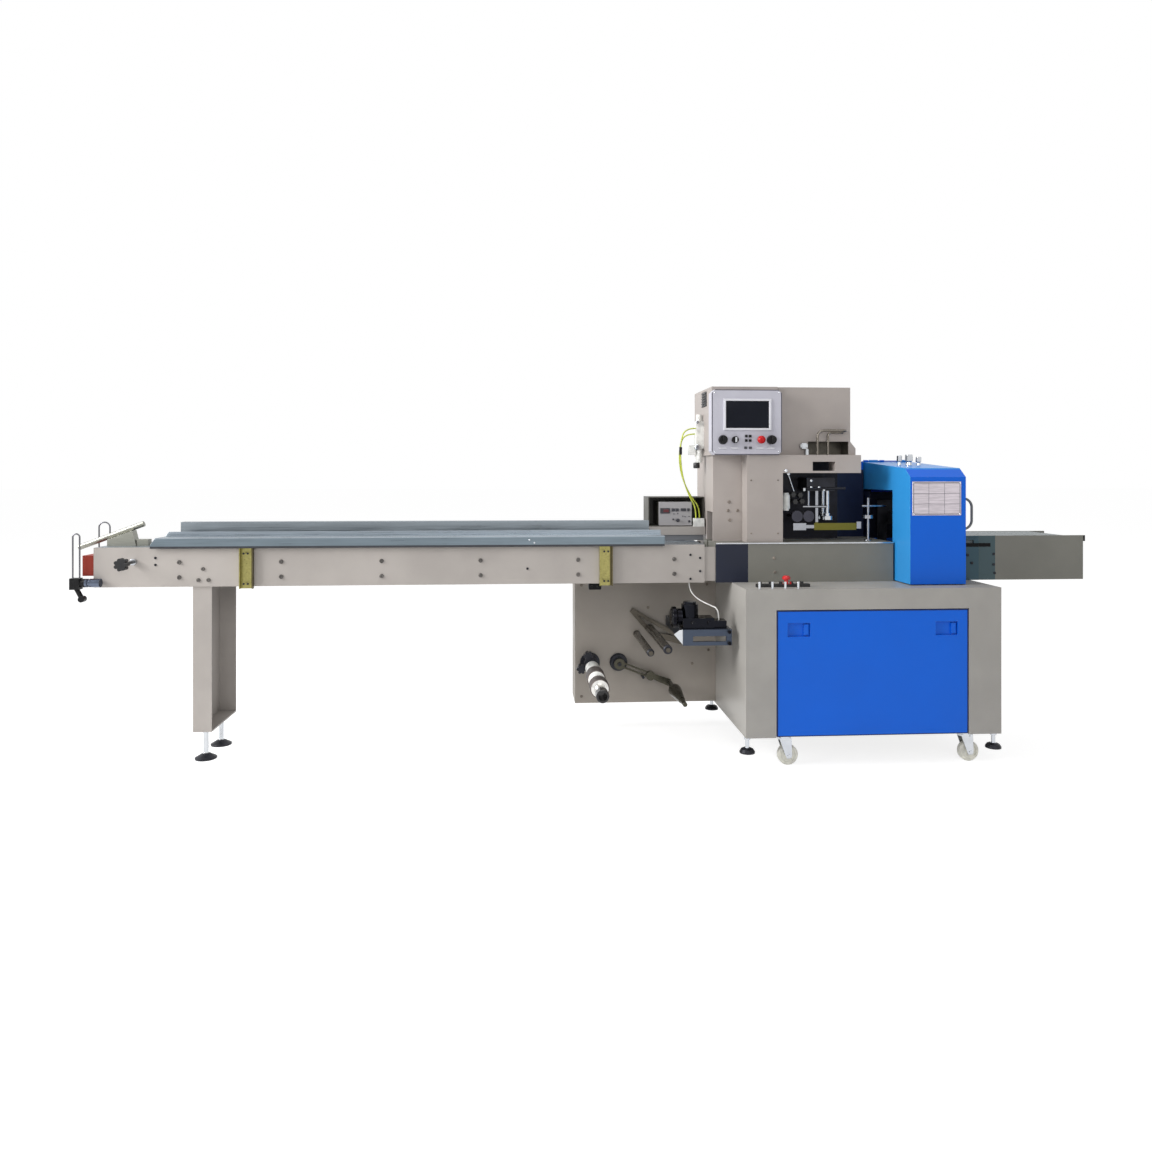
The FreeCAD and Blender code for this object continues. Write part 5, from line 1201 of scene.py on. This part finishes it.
class WRAPPER_OT_tower_trim(WrapperOperator, bpy.types.Operator):
    """Adds the vent, the air valve's plugs and knob, and the bolts of tower, table and film plate"""

    bl_idname = "wrapper.tower_trim"
    bl_label = "Tower trim"

    def execute(self, context):
        tint = context.scene.wrapper_colours
        side = 0.500
        # Painted shade: a black sheet behind the slats stands for the shade inside the vent.
        black = new_material("Vent shade", finish(moulded, tint.black))
        vent = (side - 0.0012, 0.072, 1.436), (side + 0.001, 0.168, 1.502)
        blocks("vent_shade_sheet", [vent], 0.0005, black, "frame")
        spots = [(side - 0.0025, 0.120, 1.442 + 0.0108 * step) for step in range(6)]
        dark = new_material("Vent slats", finish(darkened, tint.dark))
        slats("vent_slats", "frame", spots, (0.0016, 0.092, 0.008), (0, 0.5, 0), dark)

        chrome = new_material("Valve plating", finish(plated, tint.chrome))
        shape = bmesh.new()
        cap = [(0, 0.011), (0.004, 0.013), (0.016, 0.013), (0.019, 0.010)]
        add_turned(shape, cap, (0.470, 0.130, 1.262), FRONT, 20)
        add_turned(shape, stud(0.008, 0.010, 0.006, 0.002), (0.470, 0.130, 1.372), FRONT, 6)
        close_shape("valve_plugs", shape, chrome, "frame")
        knob = new_material("Valve knob", finish(moulded, tint.black))
        shape = bmesh.new()
        grip = [(0, 0.012), (0.003, 0.014), (0.022, 0.014), (0.025, 0.012)]
        add_turned(shape, grip, (0.4705, 0.146, 1.1955), DOWN, 20)
        close_shape("valve_knob", shape, knob, "frame")

        metal = new_material("Tower bolts", in_colour(darkened, 120, 112, 104), edge_wear=0)
        flower = [(0.5762, 0.9913), (0.6164, 0.9912), (0.5804, 1.0276), (0.5826, 0.9516)]
        table = [(0.7454, 0.7994), (0.7496, 0.7417)]
        post = [(0.768, 0.900), (0.768, 1.120), (0.655, 0.900), (0.655, 1.120)]
        film = [(0.2663, 0.5545), (0.5369, 0.363), (0.4631, 0.3026)]
        film += [(-0.030, 0.655), (-0.030, 0.165), (0.530, 0.655)]
        for name, face, spots, head in (
            ("forming_bolts", 0.005, flower, "forming bolt"),
            ("table_screws", -0.090, table, "cover screw"),
            ("post_screws", -0.070, post, "post screw"),
            ("film_plate_screws", 0.210, film, "plate screw"),
        ):
            screws(name, "frame", on_face(face, spots), FRONT, HEADS[head], metal)
        return {"FINISHED"}


class WRAPPER_OT_fin_trim(WrapperOperator, bpy.types.Operator):
    """Adds the hook plate, the tension rod and the round and hexagonal fasteners of the fin sealer"""

    bl_idname = "wrapper.fin_trim"
    bl_label = "Fin sealer trim"

    def execute(self, context):
        tint = context.scene.wrapper_colours
        chrome = new_material("Fin plating", finish(plated, tint.chrome))
        front, back = -0.0325, -0.0095
        shape = bmesh.new()
        add_block(shape, (0.899, front, 1.224), (0.911, back, 1.252), 0.002)
        add_block(shape, (0.878, front, 1.252), (0.909, back, 1.276), 0.005)
        close_shape("head_hook", shape, chrome, "frame")

        collar = [(0, 0.003), (0.002, 0.007), (0.008, 0.007), (0.010, 0.003)]
        box_face, wall_face = 0.011, 0.135
        shape = bmesh.new()
        add_rod(shape, [(0.833, 0.004, 1.150), (0.862, 0.012, 1.072)], 0.0022)
        for place in ((0.833, 0.003, 1.148), (0.800, -0.0695, 1.160)):
            add_turned(shape, collar, place, FRONT, 16)
        for x in (0.905, 0.990):
            add_turned(shape, stud(0.009, 0.012, 0.007, 0.002), (x, 0.013, 1.0735), UP, 6)
        bolts = on_face(box_face, [(0.935, 1.088), (0.969, 1.088), (0.935, 1.118)])
        for place in bolts + on_face(wall_face, [(0.8250, 1.100), (1.060, 1.095)]):
            add_turned(shape, stud(0.006, 0.005, 0.004), place, FRONT, 6)
        close_shape("fin_fasteners", shape, chrome, "frame")
        return {"FINISHED"}


class WRAPPER_OT_guard_trim(WrapperOperator, bpy.types.Operator):
    """Adds the guard's bare sign plate with its rim and rivets, and the guard's rubber bumpers"""

    bl_idname = "wrapper.guard_trim"
    bl_label = "Guard trim"

    def execute(self, context):
        tint = context.scene.wrapper_colours
        face = -0.230
        bare = in_colour(brushed, 198, 190, 196, roughness=0.4, stretch=(6, 60, 90))
        plate = new_material("Sign plate", bare)
        sheet = (1.266, face - 0.0016, 0.980), (1.468, face + 0.0005, 1.116)
        blocks("sign_plate", [sheet], 0.0006, plate, "guard")
        bar, near, far = 0.0008, face - 0.0022, face - 0.0014
        shape = bmesh.new()
        add_frame(shape, (1.2695, face - 0.0024, 0.9835), (1.4645, 0, 1.1125), 0.004, face - 0.0012)
        for x in (1.334, 1.399):
            add_block(shape, (x - bar, near, 0.987), (x + bar, far, 1.109), 0.0002)
        for z in (1.026, 1.068):
            add_block(shape, (1.273, near, z - bar), (1.461, far, z + bar), 0.0002)
        rim = new_material("Sign rim", in_colour(brushed, 120, 118, 126, roughness=0.36))
        close_shape("sign_rim", shape, rim, "guard")
        rivet = new_material("Sign rivet", finish(plated, tint.chrome), edge_wear=0)
        corners = on_face(face - 0.0024, [(x, z) for x in (1.2715, 1.4625) for z in (0.9855, 1.1105)])
        screws("sign_rivets", "guard", corners, FRONT, HEADS["rivet"], rivet)

        rubber = new_material("Guard rubber", finish(moulded, tint.black))
        reaches = ((1.262, 1.319), (1.395, 1.450))
        bumpers = [((left, face + 0.002, 0.7006), (right, face + 0.024, 0.7048)) for left, right in reaches]
        blocks("guard_bumpers", bumpers, 0.0012, rubber, "guard")
        return {"FINISHED"}


class WRAPPER_OT_outfeed_trim(WrapperOperator, bpy.types.Operator):
    """Adds the outfeed's bolts and the dark sheets in its slot that stand for its shade"""

    bl_idname = "wrapper.outfeed_trim"
    bl_label = "Outfeed trim"

    def execute(self, context):
        tint = context.scene.wrapper_colours
        metal = new_material("Outfeed bolts", finish(darkened, tint.dark), edge_wear=0)
        mount = on_face(-0.073, [(1.5782, 0.8051), (1.5964, 0.7714)])
        side = on_face(-0.070, [(1.6934, 0.8086), (1.6934, 0.7644), (1.6978, 0.7285)])
        rear = on_face(0.210, [(x, z) for x in (1.66, 2.05) for z in (0.735, 0.805)])
        screws("outfeed_mount_bolts", "frame", mount, FRONT, HEADS["plate screw"], metal)
        screws("outfeed_bolts", "frame", side, FRONT, HEADS["outfeed bolt"], metal)
        screws("outfeed_back_bolts", "frame", rear, BACK, HEADS["outfeed bolt"], metal)
        # Painted shade: thin black sheets in the slot stand for the shade inside it.
        rubber = new_material("Slot shade", finish(moulded, tint.black), specular=RUBBER_SHINE)
        slot_shades = [
            ((1.536, -0.0738, 0.8395), (1.6265, -0.0728, 0.8550)),
            ((1.6285, -0.0709, 0.8395), (1.6795, -0.0699, 0.8550)),
        ]
        blocks("slot_shade", slot_shades, 0.0004, rubber, "frame")
        return {"FINISHED"}


class WRAPPER_OT_castor_trim(WrapperOperator, bpy.types.Operator):
    """Adds the heads and nuts of the castors' axles"""

    bl_idname = "wrapper.castor_trim"
    bl_label = "Castor bolts"

    def execute(self, context):
        tint = context.scene.wrapper_colours
        metal = new_material("Castor bolts", finish(plated, tint.chrome), edge_wear=0)
        cheek = 0.0095
        for number in CASTORS:
            low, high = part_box(f"castor_wheel_{number}")
            fork_low, fork_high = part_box(f"castor_fork_{number}")
            centre = [((low.x + high.x) / 2, (low.z + high.z) / 2)]
            near, far = on_face(fork_low.y + cheek, centre), on_face(fork_high.y - cheek, centre)
            for end, spot, direction in (("head", near, FRONT), ("nut", far, BACK)):
                name, body = f"axle_{end}_{number}", f"castor_{number}"
                screws(name, body, spot, direction, HEADS["axle nut"], metal)
        return {"FINISHED"}


class WRAPPER_OT_reel_trim(WrapperOperator, bpy.types.Operator):
    """Adds the ribbed grips of the film reel"""

    bl_idname = "wrapper.reel_trim"
    bl_label = "Reel grips"

    def execute(self, context):
        low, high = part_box("reel_shaft")
        centre = [((low.x + high.x) / 2, (low.z + high.z) / 2)]
        grey = new_material("Reel ribs", in_colour(darkened, 96, 90, 88), edge_wear=0)
        for number, front, back in ((1, -0.264, -0.208), (2, -0.117, -0.043)):
            spot = on_face((front + back) / 2, centre)
            rib = (0.0018, back - front, 0.0016)
            ribs(f"reel_ribs_{number}", "reel", spot, 56, 0.0372, rib, grey)
        return {"FINISHED"}


class WRAPPER_OT_printer_face(WrapperOperator, bpy.types.Operator):
    """Adds the readout, keys, lamps and knobs on the printer's box and the skirt of its shelf"""

    bl_idname = "wrapper.printer_face"
    bl_label = "Printer face"

    def execute(self, context):
        face = 0.160
        dark = new_material("Printer keys", in_colour(moulded, 34, 34, 44))
        shape = bmesh.new()
        for x0, x1, z0, z1 in (
            (0.3127, 0.356, 0.973, 0.9963),
            (0.363, 0.377, 0.982, 0.995),
            (0.380, 0.394, 0.982, 0.995),
            (0.403, 0.427, 0.983, 0.995),
            (0.432, 0.443, 0.983, 0.995),
        ):
            add_block(shape, (x0, face - 0.003, z0), (x1, face + 0.0005, z1), 0.0008)
        seat = face + 0.0004
        for x, z, radius in ((0.390, 0.943, 0.0075), (0.370, 0.947, 0.004), (0.441, 0.938, 0.005)):
            add_turned(shape, stud(radius, 0.008, radius * 0.8, 0.002), (x, seat, z), FRONT, 20)
        lamps = [(0.373, 0.971), (0.390, 0.972), (0.412, 0.9605), (0.422, 0.959), (0.440, 0.960)]
        for place in on_face(seat, lamps):
            add_turned(shape, stud(0.0024, 0.002, 0.0016), place, FRONT, 12)
        close_shape("printer_keys", shape, dark, "frame")
        skirt_coat = new_material("Shelf skirt", in_colour(coated, 112, 114, 118), specular=PAINT_SHINE)
        skirt = (0.266, 0.1415, 0.8565), (0.500, 0.1445, 0.8825)
        blocks("shelf_skirt", [skirt], 0.0006, skirt_coat, "frame")
        red = new_material("Printer readout", in_colour(glazed, 92, 20, 30))
        window = (0.326, face - 0.0036, 0.978), (0.350, face - 0.0025, 0.991)
        blocks("printer_readout", [window], 0.0004, red, "frame")
        return {"FINISHED"}


class WRAPPER_OT_rear_covers(WrapperOperator, bpy.types.Operator):
    """Adds the cabinet's two rear covers with their louvres and screws"""

    bl_idname = "wrapper.rear_covers"
    bl_label = "Rear covers"

    def execute(self, context):
        tint = context.scene.wrapper_colours
        back = 0.390
        outer = back + 0.003
        inset = 0.018
        coat = new_material("Cover coat", finish(coated, tint.grey), specular=PAINT_SHINE)
        # Painted shade: a black sheet behind each set of louvres stands for the shade inside it.
        gap = new_material("Louvre shade", finish(moulded, tint.black))
        metal = new_material("Cover screws", finish(darkened, tint.dark), edge_wear=0)
        covers, gaps, corners, louvres = [], [], [], []
        for left, right in ((0.640, 1.060), (1.100, 1.520)):
            middle = (left + right) / 2
            covers.append(((left, back - 0.001, 0.165), (right, outer, 0.655)))
            gaps.append(((middle - 0.092, back + 0.0028, 0.272), (middle + 0.092, back + 0.0034, 0.412)))
            corners += [(x, z) for x in (left + inset, right - inset) for z in (0.183, 0.410, 0.637)]
            louvres += [(middle, 0.282 + 0.020 * step) for step in range(7)]
        blocks("rear_covers", covers, 0.001, coat, "frame")
        blocks("louvre_gaps", gaps, 0.0002, gap, "frame")
        slat, tilt = (0.180, 0.0012, 0.0150), (-0.35, 0, 0)
        slats("rear_louvres", "frame", on_face(back + 0.0052, louvres), slat, tilt, coat)
        screws("cover_screws", "frame", on_face(outer, corners), BACK, HEADS["cover screw"], metal)
        return {"FINISHED"}


class WRAPPER_PT_panel(bpy.types.Panel):
    """Lists the pieces of the flow wrapper"""

    bl_label = "Flow Wrapper"
    bl_idname = "WRAPPER_PT_panel"
    bl_space_type = "VIEW_3D"
    bl_region_type = "UI"
    bl_category = "Flow Wrapper"

    def draw(self, context):
        for piece in PIECES:
            self.layout.operator(piece.bl_idname)
        for key in GROUPS:
            group = getattr(context.scene, key)
            box = self.layout.box()
            for name in type(group).__annotations__:
                box.prop(group, name)


PIECES = [
    WRAPPER_OT_stage,
    WRAPPER_OT_hoses,
    WRAPPER_OT_finishes,
    WRAPPER_OT_infeed_screws,
    WRAPPER_OT_chain,
    WRAPPER_OT_panel_trim,
    WRAPPER_OT_tower_trim,
    WRAPPER_OT_fin_trim,
    WRAPPER_OT_guard_trim,
    WRAPPER_OT_outfeed_trim,
    WRAPPER_OT_castor_trim,
    WRAPPER_OT_reel_trim,
    WRAPPER_OT_printer_face,
    WRAPPER_OT_rear_covers,
]
GROUPS = {
    "wrapper_colours": WrapperColours,
    "wrapper_sizes": WrapperSizes,
    "wrapper_studio": StudioSettings,
}


def register():
    for group in GROUPS.values():
        bpy.utils.register_class(group)
    for name, group in GROUPS.items():
        setattr(bpy.types.Scene, name, PointerProperty(type=group))
    for piece in (*PIECES, WRAPPER_PT_panel):
        bpy.utils.register_class(piece)


def unregister():
    for piece in (WRAPPER_PT_panel, *reversed(PIECES)):
        bpy.utils.unregister_class(piece)
    for name, group in GROUPS.items():
        delattr(bpy.types.Scene, name)
        bpy.utils.unregister_class(group)


def main():
    register()
    for piece in PIECES:
        area, name = piece.bl_idname.split(".")
        getattr(getattr(bpy.ops, area), name)()


if __name__ == "__main__":
    main()
